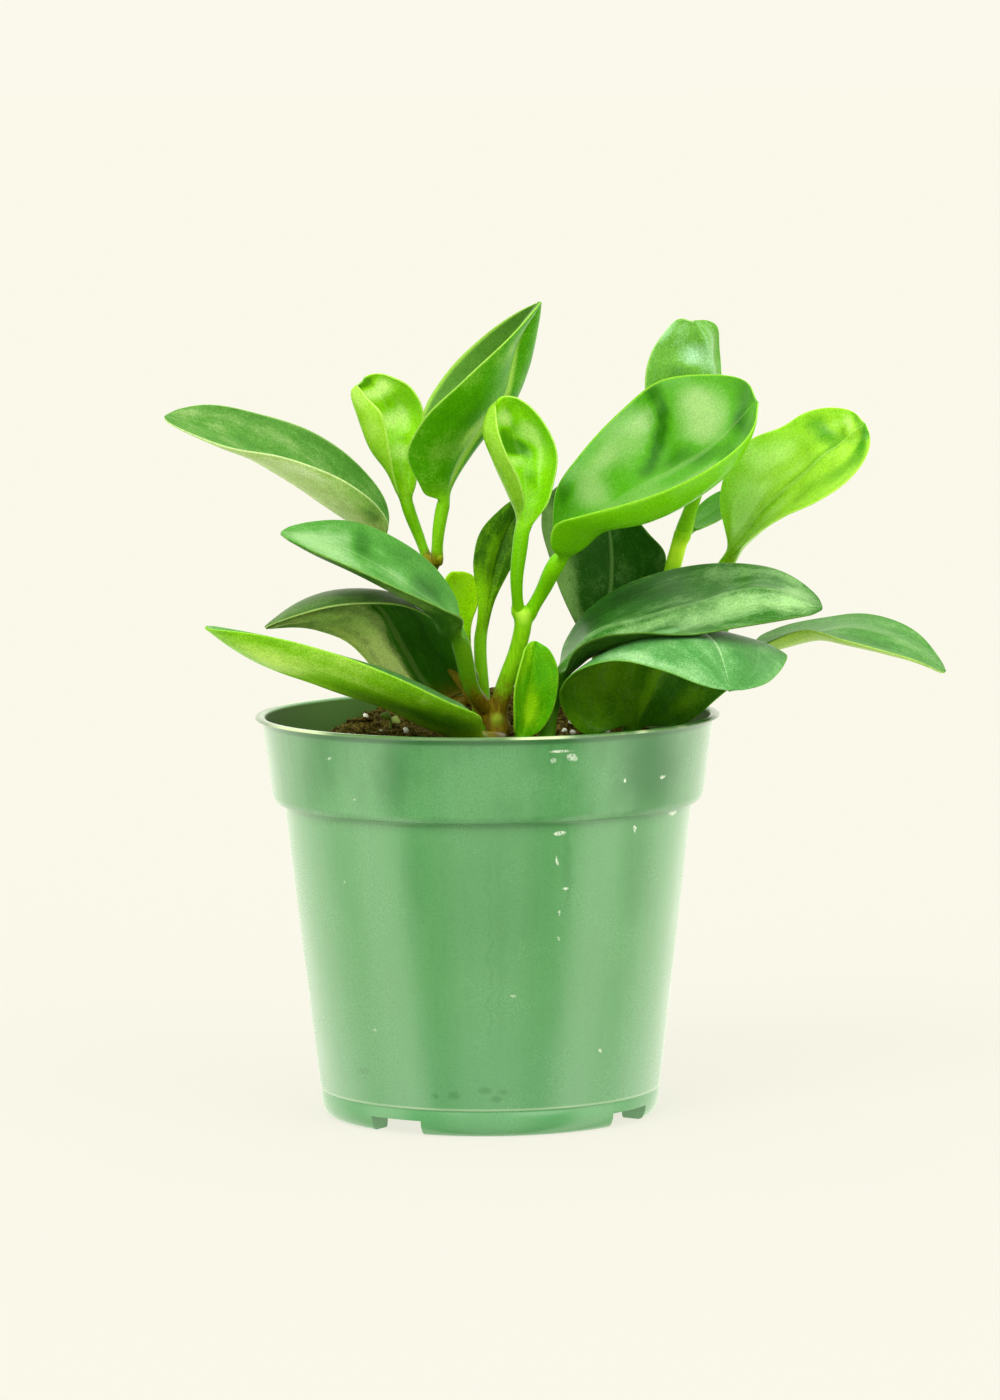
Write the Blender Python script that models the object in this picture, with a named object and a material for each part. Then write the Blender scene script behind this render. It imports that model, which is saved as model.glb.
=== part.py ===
"""Potted baby rubber plant: twenty thick leaves on two stems, in a moulded nursery pot.

+X is to the viewer's right, +Y away from the viewer, +Z up. The pot stands on Z = 0.
Every size below is in millimetres, measured from the pot's own axis, and becomes metres in a mesh.
A leaf is one solid: a round petiole that widens into a blade. It is lofted along its midrib between
two margins, so each leaf gives only the points that its midrib and its margins pass through.
"""

import math

import bmesh
import bpy
import numpy as np

MM = 0.001
GAP = 0.3  # clearance between pieces that touch
HOLE_GAP = 0.4  # clearance round a petiole in its hole in the soil

# Pot
POT_SIDES = 48
RIM_RADIUS = 54.0
RIM_TOP = 93.2
RIM_THICKNESS = 1.3
BAND_TOP_RADIUS = 52.4
BAND_FOOT_RADIUS = 50.0
BAND_FOOT = 74.4
STEP_HEIGHT = 73.2
BODY_TOP_RADIUS = 47.3
BODY_TOP = 72.4
GROOVE_HEIGHT = 5.8
GROOVE_RADIUS = 39.6
GROOVE_DEPTH = 0.3
FOOT_RADIUS = 37.6
FOOT_ROUNDING = 1.8
FOOT_RING_WIDTH = 4.6
FLOOR_UNDERSIDE = 3.4
FLOOR_TOP = 4.9
FLOOR_FILLET = 1.2
WALL = 1.3
EDGE_ROUNDING = 0.4
NOTCH_ANGLE = 21.0
NOTCH_DIRECTIONS = (-124.0, -34.0, 56.0, 146.0)
DRAIN_TURN = 45.0
DRAIN_INNER_RADIUS = 28.0
DRAIN_ANGLE = 13.0
CUT_THROUGH = 2.0  # how far a cutter reaches past what it cuts

# Soil
SOIL_SIDES = 40
SOIL_RINGS = (8.0, 17.0, 26.0, 35.0, 43.0)
SOIL_FRONT = 85.0
SOIL_SLOPE = 0.17
SOIL_SINK = 6.0
SOIL_SINK_FROM = 36.0
SOIL_SINK_OVER = 14.0
SOIL_LUMP = 0.5

# Leaves and stems
ACROSS = 7
BLADE_SECTIONS = 11
PETIOLE_SECTIONS = 4
EVEN_SPACING = 0.35  # share of even spacing among the sections, which crowd at both ends
BLADE_CENTRE = 1.3
BLADE_EDGE = 0.7
BLADE_LEAST = 0.62
TIP_RADIUS = 0.6
TIP_FROM = 0.8
TIP_THINNING = 0.25
BOW_FULLNESS = 0.8
ROUND_SHARE = 0.16
STEM_SIDES = 10
FORKED_SECTIONS = 12
SINGLE_SECTIONS = 10
HOLE_SECTIONS = 9
SHARP_ANGLE = math.radians(40)

STEM_FORKED_RIGHT = (
    (2.5, -2, 83), (2.5, -2, 88.5), (2.5, -2, 93.5), (4.5, -2, 101),
    (7, -3, 108), (8.5, -4, 115), (8.5, -4, 118),
)
STEM_FORKED_RIGHT_RADII = (2.6, 2.6, 2.3, 2.1, 2.0, 2.1, 1.9)
STEM_FORKED_LEFT = (
    (2.5, -2, 89.5), (0, -1, 93.5), (-4, 3, 98.5), (-9.5, 6, 106.5),
    (-14.5, 8, 115.5), (-14.5, 8, 121.5), (-12.5, 6, 129),
)
STEM_FORKED_LEFT_RADII = (2.3, 2.2, 2.1, 2.0, 2.1, 1.8, 2.0)
STEM_RIGHT = ((29, 10, 81.5), (31, 11, 88), (36, 13, 102), (41.5, 15, 118), (46, 16, 134))
STEM_RIGHT_RADII = (2.3, 2.3, 2.1, 2.0, 1.9)

# Each leaf: what it grows from, its petiole and midrib from the seat to the tip, the points on its
# left and right margins, how far each half bows below its chord (one depth, or the points along the
# middle of that half), its petiole's radii, and its age. Left and right are as seen from the petiole,
# with the upper face up.
LEAVES = {
    "leaf_upper_left": dict(
        seat="stem_forked", age="mature",
        petiole=((-14.5, 8, 118.5), (-17.5, 8, 122), (-21, 7, 128)),
        midrib=((-26, 6, 133.5), (-34.5, 5, 140), (-45.5, 5, 147.5), (-59.5, 5, 156), (-74.5, 5, 162.5)),
        left=((-22, 5, 131.5), (-22.5, 0, 137.5), (-32, -10, 148), (-45.5, -9, 153.5), (-60, -4, 156)),
        right=((-22, 12, 131.5), (-23.5, 16, 142), (-29.5, 18, 150), (-38.5, 18, 157),
               (-52.5, 14, 162.5), (-66.5, 9, 165)),
        bow=(1.2, 1.5), radii=(1.5, 1.6),
    ),
    "leaf_middle_left": dict(
        seat="stem_forked", age="mature",
        petiole=((0.5, -1, 93.5), (-0.5, -6, 99), (-3, -10, 109.5)),
        midrib=((-7.5, -11, 115), (-15.5, -13, 122), (-25, -15, 128.5),
                (-36, -17, 134), (-47, -19, 137)),
        left=((-5, -16, 112), (-10.5, -24, 118.5), (-19.5, -29, 123),
              (-27.5, -30, 127), (-36.5, -28, 132)),
        right=((-4, -6, 113.5), (-6.5, -3, 119), (-11, -2, 126.5), (-20, -4, 134),
               (-29, -4, 138), (-40.5, -12, 139)),
        bow=(1.0, 0.8), radii=(1.9, 2.0),
    ),
    "leaf_arched_left": dict(
        seat="stem_forked", age="mature",
        petiole=((-3, 3, 97), (-5.5, 5, 95.5), (-8, 7, 95)),
        midrib=((-14, 9, 99.5), (-20, 7, 108.5), (-25.5, 3, 118), (-33, -2, 121),
                (-43, -8, 119.5), (-51, -11, 114.5)),
        left=((-2, 0, 100.5), (-5.5, -7, 108.5), (-10.5, -11, 115), (-18.5, -15, 119.5),
              (-27.5, -18, 120.5), (-35.5, -20, 120), (-43, -18, 118)),
        right=((-16, 18, 93.5), (-24, 22, 99), (-32, 16, 108), (-38.5, 6, 112), (-44.5, -4, 114)),
        bow=(0.8, 0.8), radii=(1.6, 1.7),
    ),
    "leaf_low_left": dict(
        seat="stem_forked", age="mature",
        petiole=((2.5, -2, 88), (2.5, -8, 88), (1, -13, 88.5)),
        midrib=((-9, -19, 90.5), (-24.5, -25, 98), (-38, -30, 103.5),
                (-51, -35, 108.5), (-63.5, -40, 117.5)),
        left=((0.5, -19, 92.5), (-2, -25, 95.5), (-8.5, -31, 99), (-19.5, -37, 105),
              (-33, -42, 111), (-51, -44, 116)),
        right=((-1, -8, 93.5), (-8.5, -3, 97), (-20, -6, 103), (-34, -14, 108.5), (-51, -28, 114.5)),
        bow=(2.5, 1.5), radii=(1.7, 1.9),
    ),
    "leaf_young_left": dict(
        seat="stem_forked", age="young",
        petiole=((-13.5, 8, 128), (-15.5, 9, 133.5), (-18, 8, 140.5)),
        midrib=((-19.5, 8, 147), (-20.5, 11, 155), (-22.5, 12, 163), (-28, 8, 171)),
        left=((-19.5, 2, 147.5), (-21, 0, 157), (-24, 0, 163.5), (-27, 2, 166.5), (-29.5, 4, 169.5)),
        right=((-17, 6, 145), (-15, 6, 156.5), (-14.5, 6, 163.5), (-17.5, 7, 169), (-22.5, 8, 171.5)),
        bow=(((-22, 6, 148), (-27, 6, 155.5), (-29.5, 6, 162.5), (-30.5, 6, 168)), 2.0),
        radii=(1.2, 1.3),
    ),
    "leaf_tall": dict(
        seat="stem_forked", age="young",
        petiole=((-11.5, 5, 128.5), (-11, 4, 135.5), (-10, 5, 141)),
        midrib=((-7, 6, 150.5), (-1.5, 6, 159.5), (4.5, 6, 166.5), (7.5, 5, 175), (13, 3, 188.5)),
        left=((-11.5, 10, 144.5), (-15.5, 16, 153.5), (-14.5, 20, 162.5), (-9, 21, 171.5),
              (-1, 19, 179.5), (7, 12, 185.5)),
        right=((-15, 2, 146), (-17, -2, 153.5), (-15, -5, 161), (-5, -7, 171), (5.5, -5, 180.5)),
        bow=(((-8.5, 9, 147.5), (-2, 13, 157), (5, 15, 165), (9.5, 14, 173.5), (12, 9, 182)), 2.0),
        radii=(1.7, 1.8),
    ),
    "leaf_young_centre": dict(
        seat="stem_forked", age="young",
        petiole=((7.5, -4, 116.5), (7, -7, 125), (8, -8, 134)),
        midrib=((9, -7, 142), (8.5, -4, 151), (6, -3, 159.5), (3.5, -8, 167)),
        left=((9, -13, 142.5), (7.5, -16, 149.5), (5, -17, 154.5), (3, -16, 160.5), (2.5, -13, 165)),
        right=((12, -10, 137.5), (15.5, -10, 147), (16.5, -10, 154), (14, -9, 160.5), (9, -8, 166)),
        bow=(((6, -10, 143.5), (2, -11, 152.5), (0, -11, 160), (1.5, -10, 165)), 2.0),
        radii=(1.4, 1.4),
    ),
    "leaf_behind_centre": dict(
        seat="soil", age="mature",
        petiole=((-0.5, 9, 84), (-1, 10, 97.5), (-1.5, 12, 109)),
        midrib=((0, 13, 118.5), (2, 14, 128), (5, 15, 136), (11, 16, 143.5)),
        left=((2, 12, 118.5), (5, 13, 124.5), (9, 14, 131.5), (11.5, 15, 138)),
        right=((-2, 10, 117.5), (-3, 9, 128.5), (-1.5, 10, 134.5), (3.5, 12, 140)),
        bow=(0.8, 1.2), radii=(1.6, 1.5),
    ),
    "leaf_small_back": dict(
        seat="soil", age="young",
        petiole=((-2, 15, 86), (-3, 16, 97), (-4.5, 17, 106.5)),
        midrib=((-5.5, 17, 113.5), (-7, 17, 120.5), (-8, 15, 125)),
        left=((-7.5, 15, 109), (-10, 14, 116), (-10, 14, 122)),
        right=((-4, 15, 112), (-2, 14, 118.5), (-3, 14, 124)),
        bow=(0.8, 0.8), radii=(1.1, 1.0),
    ),
    "leaf_large_right": dict(
        seat="stem_forked", age="glossy",
        petiole=((9.5, -3, 116), (13, -5, 121.5), (17, -9, 128.5)),
        midrib=((21.5, -10, 135.5), (30, -9, 141.5), (40, -9, 148.5), (50.5, -10, 154.5), (62, -14, 167)),
        left=((15.5, -2, 138.5), (16.5, 2, 145.5), (21.5, 5, 152.5), (31.5, 7, 163),
              (40.5, 6, 170), (50, 3, 171.5), (57.5, -4, 170.5)),
        right=((16, -18, 133.5), (20.5, -25, 139.5), (30.5, -30, 141.5), (40.5, -32, 145.5),
               (51.5, -30, 152), (59.5, -24, 159.5)),
        bow=(2.2, ((18.5, -16, 132.5), (26, -20, 137), (36.5, -22, 139),
                   (46.5, -22, 143.5), (56.5, -20, 151.5))),
        radii=(1.7, 1.8),
    ),
    "leaf_top_right": dict(
        seat="stem_right", age="mature",
        petiole=((46, 16, 133.5), (49, 15, 142.5), (53, 14, 156.5)),
        midrib=((53.5, 13, 165), (53, 12, 173), (51.5, 12, 179), (49, 13, 183.5)),
        left=((48, 10, 160.5), (38, 8, 164.5), (37.5, 8, 172.5), (41.5, 11, 180.5), (46, 13, 184)),
        right=((55, 18, 161), (55.5, 20, 168), (55, 19, 176.5), (54, 16, 182.5)),
        bow=(1.5, 1.2), radii=(1.6, 1.6),
    ),
    "leaf_small_right": dict(
        seat="stem_right", age="mature",
        petiole=((45.5, 16, 132), (48, 20, 134)),
        midrib=((52, 21, 137), (56, 22, 139.5), (60.5, 22, 141.5)),
        left=((49, 24, 138), (52, 25, 141), (56, 25, 143)),
        right=((50, 17, 134.5), (54.5, 17, 136.5), (58, 18, 139)),
        bow=(0.5, 0.5), radii=(1.0, 1.0),
    ),
    "leaf_bright_right": dict(
        seat="stem_right", age="young",
        petiole=((39.5, 14, 111.5), (49, 12, 118.5), (56.5, 10, 127.5)),
        midrib=((60, 6, 133.5), (65, 4, 140), (73, 2, 147), (80.5, 0, 154), (88, 0, 160)),
        left=((54.5, 12, 131), (54.5, 13, 138), (55.5, 13, 146.5), (61.5, 12, 155.5), (69.5, 10, 159),
              (74, 8, 162), (80.5, 5, 163.5), (85.5, 2, 162.5)),
        right=((60.5, 0, 133), (68.5, -6, 139), (76, -9, 142.5), (83, -9, 147),
               (87.5, -6, 152), (89, -2, 156)),
        bow=(1.6, 1.6), radii=(1.5, 1.5),
    ),
    "leaf_dark_centre": dict(
        seat="stem_right", age="mature",
        petiole=((31.5, 12, 89.5), (28.5, 17, 95.5), (26.5, 19, 105)),
        midrib=((28, 21, 113), (29.5, 23, 123.5), (29, 24, 134), (24, 24, 145.5)),
        left=((21.5, 14, 111.5), (17, 12, 121.5), (15, 12, 128), (13, 14, 136),
              (14, 18, 141.5), (18, 22, 145)),
        right=((33.5, 18, 109.5), (40.5, 18, 120), (42, 19, 129), (38.5, 21, 133), (31.5, 23, 141)),
        bow=(1.5, 1.0), radii=(1.8, 1.9),
    ),
    "leaf_broad_right": dict(
        seat="soil", age="mature",
        petiole=((14, -12, 82), (14, -11, 92), (16, -10, 100)),
        midrib=((20, -10, 108), (26, -10, 113.5), (36.5, -11, 116), (49, -13, 119.5),
                (64.5, -16, 122.5), (77, -18, 118.5)),
        left=((16, -2, 104), (18.5, 3, 110), (23, 7, 116), (31, 9, 121.5), (42.5, 9, 125.5),
              (56, 4, 127.5), (67, -2, 126.5), (74, -10, 123)),
        right=((17.5, -18, 103.5), (20.5, -24, 110.5), (26, -28, 113.5), (33.5, -30, 114.5),
               (46, -31, 114), (57.5, -29, 115.5), (69.5, -24, 117)),
        bow=(1.2, 1.2), radii=(1.9, 2.0),
    ),
    "leaf_nodding_right": dict(
        seat="soil", age="mature",
        petiole=((32, -2, 82), (32.5, -2, 86), (33, -3, 88.5)),
        midrib=((36, -6, 96), (40, -10, 104.5), (45.5, -17, 111.5), (50.5, -28, 110), (55, -40, 102)),
        left=((40, -1, 88), (47, 0, 91), (54.5, 0, 96.5), (63.5, -4, 103), (69, -14, 107),
              (66.5, -26, 104.5), (61.5, -36, 102.5)),
        right=((25, -8, 87.5), (18.5, -12, 93), (16.5, -17, 99), (19, -23, 104), (28.5, -30, 108),
               (39.5, -37, 106.5), (50, -41, 103)),
        bow=(-1.5, -1.5), radii=(1.9, 2.0),
    ),
    "leaf_far_right": dict(
        seat="stem_right", age="mature",
        petiole=((34.5, 13, 97.5), (43, 14, 97), (51, 12, 99.5), (58.5, 8, 104)),
        midrib=((65, 5, 107.5), (75, 3, 110.5), (84.5, 2, 112), (96, 1, 109), (106.5, 0, 102)),
        left=((61, 12, 107.5), (68, 16, 111), (80, 17, 113.5), (87.5, 15, 114.5),
              (94.5, 11, 113.5), (100, 7, 111)),
        right=((61.5, 0, 107), (66.5, -6, 110.5), (74, -10, 113), (81.5, -12, 111),
               (91.5, -10, 108), (100, -6, 105)),
        bow=(1.0, 2.0), radii=(1.6, 1.6),
    ),
    "leaf_small_front": dict(
        seat="soil", age="young",
        petiole=((7.5, -14, 82), (7.5, -14, 87.5)),
        midrib=((9, -15, 94.5), (10, -16, 102.5), (11, -16, 111.5)),
        left=((7, -18, 93), (7, -20, 100.5), (8.5, -19, 108)),
        right=((13.5, -16, 93.5), (15.5, -16, 100), (15.5, -16, 105.5), (13.5, -16, 110)),
        bow=(1.2, 0.8), radii=(1.4, 1.4),
    ),
    "leaf_back_right": dict(
        seat="soil", age="mature",
        petiole=((29.5, 26, 86), (33.5, 28, 93.5), (37.5, 31, 97.5)),
        midrib=((43, 38, 103), (48.5, 46, 108), (54.5, 56, 113)),
        left=((36.5, 38, 104), (40.5, 48, 111), (48, 58, 114.5)),
        right=((48, 34, 98), (55, 42, 103.5), (58, 52, 110)),
        bow=(1.2, 1.2), radii=(1.7, 1.7),
    ),
    "leaf_back_left": dict(
        seat="soil", age="mature",
        petiole=((-5, 24, 86), (-7, 27, 94), (-8.5, 30, 97)),
        midrib=((-11, 37, 101), (-13.5, 46, 105), (-15, 56, 109)),
        left=((-15.5, 34, 97.5), (-20, 44, 103), (-20, 54, 107.5)),
        right=((-6.5, 40, 101.5), (-7, 48, 106), (-10.5, 56, 109)),
        bow=(1.2, 1.2), radii=(1.7, 1.7),
    ),
}

COLOURS = {
    "pot": ((0.07, 0.28, 0.15), 0.38),
    "soil": ((0.10, 0.055, 0.03), 0.95),
    "stem": ((0.24, 0.34, 0.06), 0.5),
    "mature": ((0.04, 0.19, 0.06), 0.3),
    "glossy": ((0.07, 0.30, 0.06), 0.22),
    "young": ((0.16, 0.45, 0.04), 0.28),
}


def unit(vectors):
    length = np.linalg.norm(vectors, axis=-1, keepdims=True)
    return vectors / np.maximum(length, 1e-9)


def smooth_step(value):
    value = np.clip(value, 0, 1)
    return value * value * (3 - 2 * value)


def chord_parameter(points):
    steps = np.linalg.norm(np.diff(points, axis=0), axis=1)
    along = np.concatenate([[0], np.cumsum(steps)])
    return along / along[-1]


def curve_through(points, where):
    """Smooth curve through the points, read at shares of its chord length."""
    points = np.array(points, float)
    x = chord_parameter(points)
    steps = np.diff(x)
    slopes = np.diff(points, axis=0) / steps[:, None]
    tangents = np.empty_like(points)
    tangents[1:-1] = (slopes[:-1] * steps[1:, None] + slopes[1:] * steps[:-1, None]) / (
        steps[1:] + steps[:-1]
    )[:, None]
    tangents[0] = slopes[0]
    tangents[-1] = slopes[-1]
    if len(points) > 2:
        tangents[0] = 1.5 * slopes[0] - 0.5 * tangents[1]
        tangents[-1] = 1.5 * slopes[-1] - 0.5 * tangents[-2]
    result = []
    for t in np.clip(where, 0, 1):
        i = min(max(int(np.searchsorted(x, t, side="right")) - 1, 0), len(points) - 2)
        u = (t - x[i]) / steps[i]
        result.append(
            (2 * u**3 - 3 * u**2 + 1) * points[i]
            + (u**3 - 2 * u**2 + u) * steps[i] * tangents[i]
            + (3 * u**2 - 2 * u**3) * points[i + 1]
            + (u**3 - u**2) * steps[i] * tangents[i + 1]
        )
    return np.array(result)


def principled(name):
    colour, roughness = COLOURS[name]
    material = bpy.data.materials.new(name)
    material.use_nodes = True
    shader = material.node_tree.nodes["Principled BSDF"]
    shader.inputs["Base Color"].default_value = (*colour, 1)
    shader.inputs["Roughness"].default_value = roughness
    shader.inputs["Metallic"].default_value = 0
    return material


def add_object(name, vertices, faces, material, parent):
    """New object from points in millimetres, its faces turned outwards, shaded smooth."""
    mesh = bpy.data.meshes.new(name)
    mesh.from_pydata([tuple(float(c) * MM for c in v) for v in vertices], [], faces)
    work = bmesh.new()
    work.from_mesh(mesh)
    bmesh.ops.recalc_face_normals(work, faces=work.faces)
    work.to_mesh(mesh)
    work.free()
    mesh.shade_smooth()
    mesh.set_sharp_from_angle(angle=SHARP_ANGLE)
    if material:
        mesh.materials.append(material)
    thing = bpy.data.objects.new(name, mesh)
    bpy.context.scene.collection.objects.link(thing)
    thing.parent = parent
    return thing


def as_cutter(thing):
    thing.hide_render = True
    thing.display_type = "WIRE"
    return thing


def cut(thing, cutter):
    boolean = thing.modifiers.new("cut_" + cutter.name, "BOOLEAN")
    boolean.operation = "DIFFERENCE"
    boolean.solver = "EXACT"
    boolean.object = cutter


def loft(rings):
    """Triangles between equal closed rings, with a fan over each end."""
    count, size = rings.shape[:2]
    faces = []
    for i in range(count - 1):
        for j in range(size):
            a = i * size + j
            b = i * size + (j + 1) % size
            c, d = a + size, b + size
            # the lower face is split along the same line as the upper one over it
            faces += [(a, c, d), (a, d, b)] if j < size / 2 else [(a, c, b), (b, c, d)]
    vertices = list(rings.reshape(-1, 3))
    first, last = len(vertices), len(vertices) + 1
    vertices += [rings[0].mean(0), rings[-1].mean(0)]
    end = (count - 1) * size
    for j in range(size):
        faces.append((first, j, (j + 1) % size))
        faces.append((last, end + (j + 1) % size, end + j))
    return vertices, faces


def tube(points, radii, sections, extra=0.0):
    """Round stem along a smooth curve; extra makes the fatter and longer copy that cuts its seats."""
    where = np.linspace(0, 1, sections)
    centres = curve_through(points, where)
    around = np.interp(where, chord_parameter(np.array(points, float)), radii) + extra
    tangents = unit(np.gradient(centres, axis=0))
    centres[0] -= tangents[0] * extra
    centres[-1] += tangents[-1] * extra
    angles = 2 * np.pi * np.arange(STEM_SIDES) / STEM_SIDES
    side = np.array([1.0, 0, 0])
    rings = []
    for centre, tangent, radius in zip(centres, tangents, around):
        side = unit(side - tangent * (side @ tangent))
        third = np.cross(tangent, side)
        rings.append(centre + radius * (np.outer(np.cos(angles), side) + np.outer(np.sin(angles), third)))
    return loft(np.array(rings))


def leaf_line(leaf):
    """The petiole's and midrib's curve, and the share of it that is petiole."""
    points = np.array(leaf["petiole"] + leaf["midrib"], float)
    return points, chord_parameter(points)[len(leaf["petiole"]) - 1]


def half_middle(margin, midrib, tangents, bow, sign, ends, shares):
    """The line halfway across one half of a blade."""
    if not np.isscalar(bow):
        return curve_through(np.vstack([ends[0], bow, ends[1]]), shares)
    below = unit(np.cross(sign * (margin - midrib), tangents))
    swell = np.sin(np.pi * shares) ** BOW_FULLNESS
    return (margin + midrib) / 2 - below * (bow * swell)[:, None]


def leaf_solid(leaf):
    """One closed solid: a round petiole that flattens into a blade between its two margins."""
    line, petiole_share = leaf_line(leaf)
    u = np.linspace(0, 1, BLADE_SECTIONS)
    shares = EVEN_SPACING * u + (1 - EVEN_SPACING) * (1 - np.cos(np.pi * u)) / 2
    midrib = curve_through(line, petiole_share + (1 - petiole_share) * shares)
    petiole = curve_through(line, np.linspace(0, petiole_share, PETIOLE_SECTIONS + 1)[:-1])
    tangents = unit(np.gradient(midrib, axis=0))
    left, right = np.array(leaf["left"], float), np.array(leaf["right"], float)
    seat_radius, neck_radius = leaf["radii"]
    base_side = right[0] - left[0]
    base_side = unit(base_side - tangents[0] * (base_side @ tangents[0]))
    tip_side = right[-1] - left[-1]
    tip_side = unit(tip_side - tangents[-1] * (tip_side @ tangents[-1]))
    halves = []
    for margin, bow, sign in ((left, leaf["bow"][0], -1), (right, leaf["bow"][1], 1)):
        start = midrib[0] + sign * base_side * neck_radius
        end = midrib[-1] + sign * tip_side * TIP_RADIUS
        edge = curve_through(np.vstack([start, margin, end]), shares)
        ends = ((start + midrib[0]) / 2, (end + midrib[-1]) / 2)
        middle = half_middle(edge, midrib, tangents, bow, sign, ends, shares)
        halves.append((edge, middle))
    turns = np.pi * (np.arange(ACROSS) + 0.5) / ACROSS
    across = -np.cos(turns) / math.cos(turns[0])
    sheet = np.zeros((BLADE_SECTIONS, ACROSS, 3))
    for j, s in enumerate(across):
        edge, middle = halves[0] if s < 0 else halves[1]
        a = abs(s)
        sheet[:, j] = midrib * (1 - a) * (1 - 2 * a) + middle * 4 * a * (1 - a) + edge * a * (2 * a - 1)
    normals = unit(np.cross(np.gradient(sheet, axis=1), np.gradient(sheet, axis=0)))
    thickness = BLADE_EDGE + (BLADE_CENTRE - BLADE_EDGE) * (1 - np.abs(across) ** 1.5)
    thickness = np.outer(1 - TIP_THINNING * smooth_step((shares - TIP_FROM) / (1 - TIP_FROM)), thickness)
    half_thickness = np.maximum(thickness, BLADE_LEAST)[..., None] / 2
    upper = sheet + normals * half_thickness
    lower = sheet - normals * half_thickness
    blade = np.concatenate([upper, lower[:, ::-1]], axis=1)
    angles = np.concatenate([np.pi - turns, -turns])

    def circle(centre, side, tangent, radius):
        third = unit(np.cross(side, tangent))
        return centre + radius * (np.outer(np.cos(angles), side) + np.outer(np.sin(angles), third))

    centres = np.vstack([petiole, midrib])
    directions = unit(np.gradient(centres, axis=0))
    side = base_side
    rings = []
    for i in range(PETIOLE_SECTIONS, -1, -1):
        side = unit(side - directions[i] * (side @ directions[i]))
        if i < PETIOLE_SECTIONS:
            radius = seat_radius + (neck_radius - seat_radius) * i / PETIOLE_SECTIONS
            rings.insert(0, circle(centres[i], side, directions[i], radius))
    for i in range(BLADE_SECTIONS):
        roundness = 1 - smooth_step(shares[i] / ROUND_SHARE)
        side = halves[1][0][i] - halves[0][0][i]
        side = unit(side - tangents[i] * (side @ tangents[i]))
        neck = circle(midrib[i], side, tangents[i], neck_radius)
        rings.append(neck * roundness + blade[i] * (1 - roundness))
    return loft(np.array(rings))


def pot_profile():
    """The pot's half section, from the middle of its floor up the inside and down the outside."""
    inner_band = BAND_FOOT_RADIUS - WALL
    inner_top = BAND_TOP_RADIUS - WALL
    inner_body = BODY_TOP_RADIUS - WALL
    inner_floor = GROOVE_RADIUS - WALL
    inner_foot = FOOT_RADIUS - FOOT_RING_WIDTH
    rim_underside = RIM_TOP - RIM_THICKNESS
    groove_half = 0.5
    return (
        (0, FLOOR_TOP),
        (inner_floor - FLOOR_FILLET, FLOOR_TOP),
        (inner_floor, FLOOR_TOP + FLOOR_FILLET),
        (inner_body, BODY_TOP),
        (inner_band, BAND_FOOT + EDGE_ROUNDING),
        (inner_top, rim_underside),
        (inner_top + EDGE_ROUNDING, RIM_TOP),
        (RIM_RADIUS - EDGE_ROUNDING, RIM_TOP),
        (RIM_RADIUS, RIM_TOP - EDGE_ROUNDING),
        (RIM_RADIUS, rim_underside + EDGE_ROUNDING),
        (RIM_RADIUS - EDGE_ROUNDING, rim_underside),
        (BAND_TOP_RADIUS, rim_underside - EDGE_ROUNDING),
        (BAND_FOOT_RADIUS, BAND_FOOT),
        (BAND_FOOT_RADIUS - 2 * EDGE_ROUNDING, STEP_HEIGHT),
        (BODY_TOP_RADIUS + EDGE_ROUNDING, STEP_HEIGHT - EDGE_ROUNDING / 2),
        (BODY_TOP_RADIUS, BODY_TOP),
        (GROOVE_RADIUS, GROOVE_HEIGHT + groove_half),
        (GROOVE_RADIUS - GROOVE_DEPTH, GROOVE_HEIGHT),
        (GROOVE_RADIUS - GROOVE_DEPTH / 2, GROOVE_HEIGHT - groove_half),
        (FOOT_RADIUS + FOOT_ROUNDING * 0.8, FOOT_ROUNDING),
        (FOOT_RADIUS + FOOT_ROUNDING * 0.5, FOOT_ROUNDING * 0.3),
        (FOOT_RADIUS, 0),
        (inner_foot, 0),
        (inner_foot - EDGE_ROUNDING, FLOOR_UNDERSIDE),
        (0, FLOOR_UNDERSIDE),
    )


def wedge(inner, outer, low, high, direction, angle):
    """Block between two radii and two heights; direction turns right from the front."""
    half = math.radians(angle / 2)
    middle = math.radians(direction)
    corners = []
    for height in (low, high):
        for radius, turn in ((inner, -half), (outer, -half), (outer, half), (inner, half)):
            corners.append((radius * math.sin(middle + turn), -radius * math.cos(middle + turn), height))
    return corners, [(0, 1, 2, 3), (7, 6, 5, 4), (0, 4, 5, 1), (1, 5, 6, 2), (2, 6, 7, 3), (3, 7, 4, 0)]


def joined(solids):
    vertices, faces = [], []
    for more_vertices, more_faces in solids:
        faces += [tuple(len(vertices) + i for i in face) for face in more_faces]
        vertices += list(more_vertices)
    return vertices, faces


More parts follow.
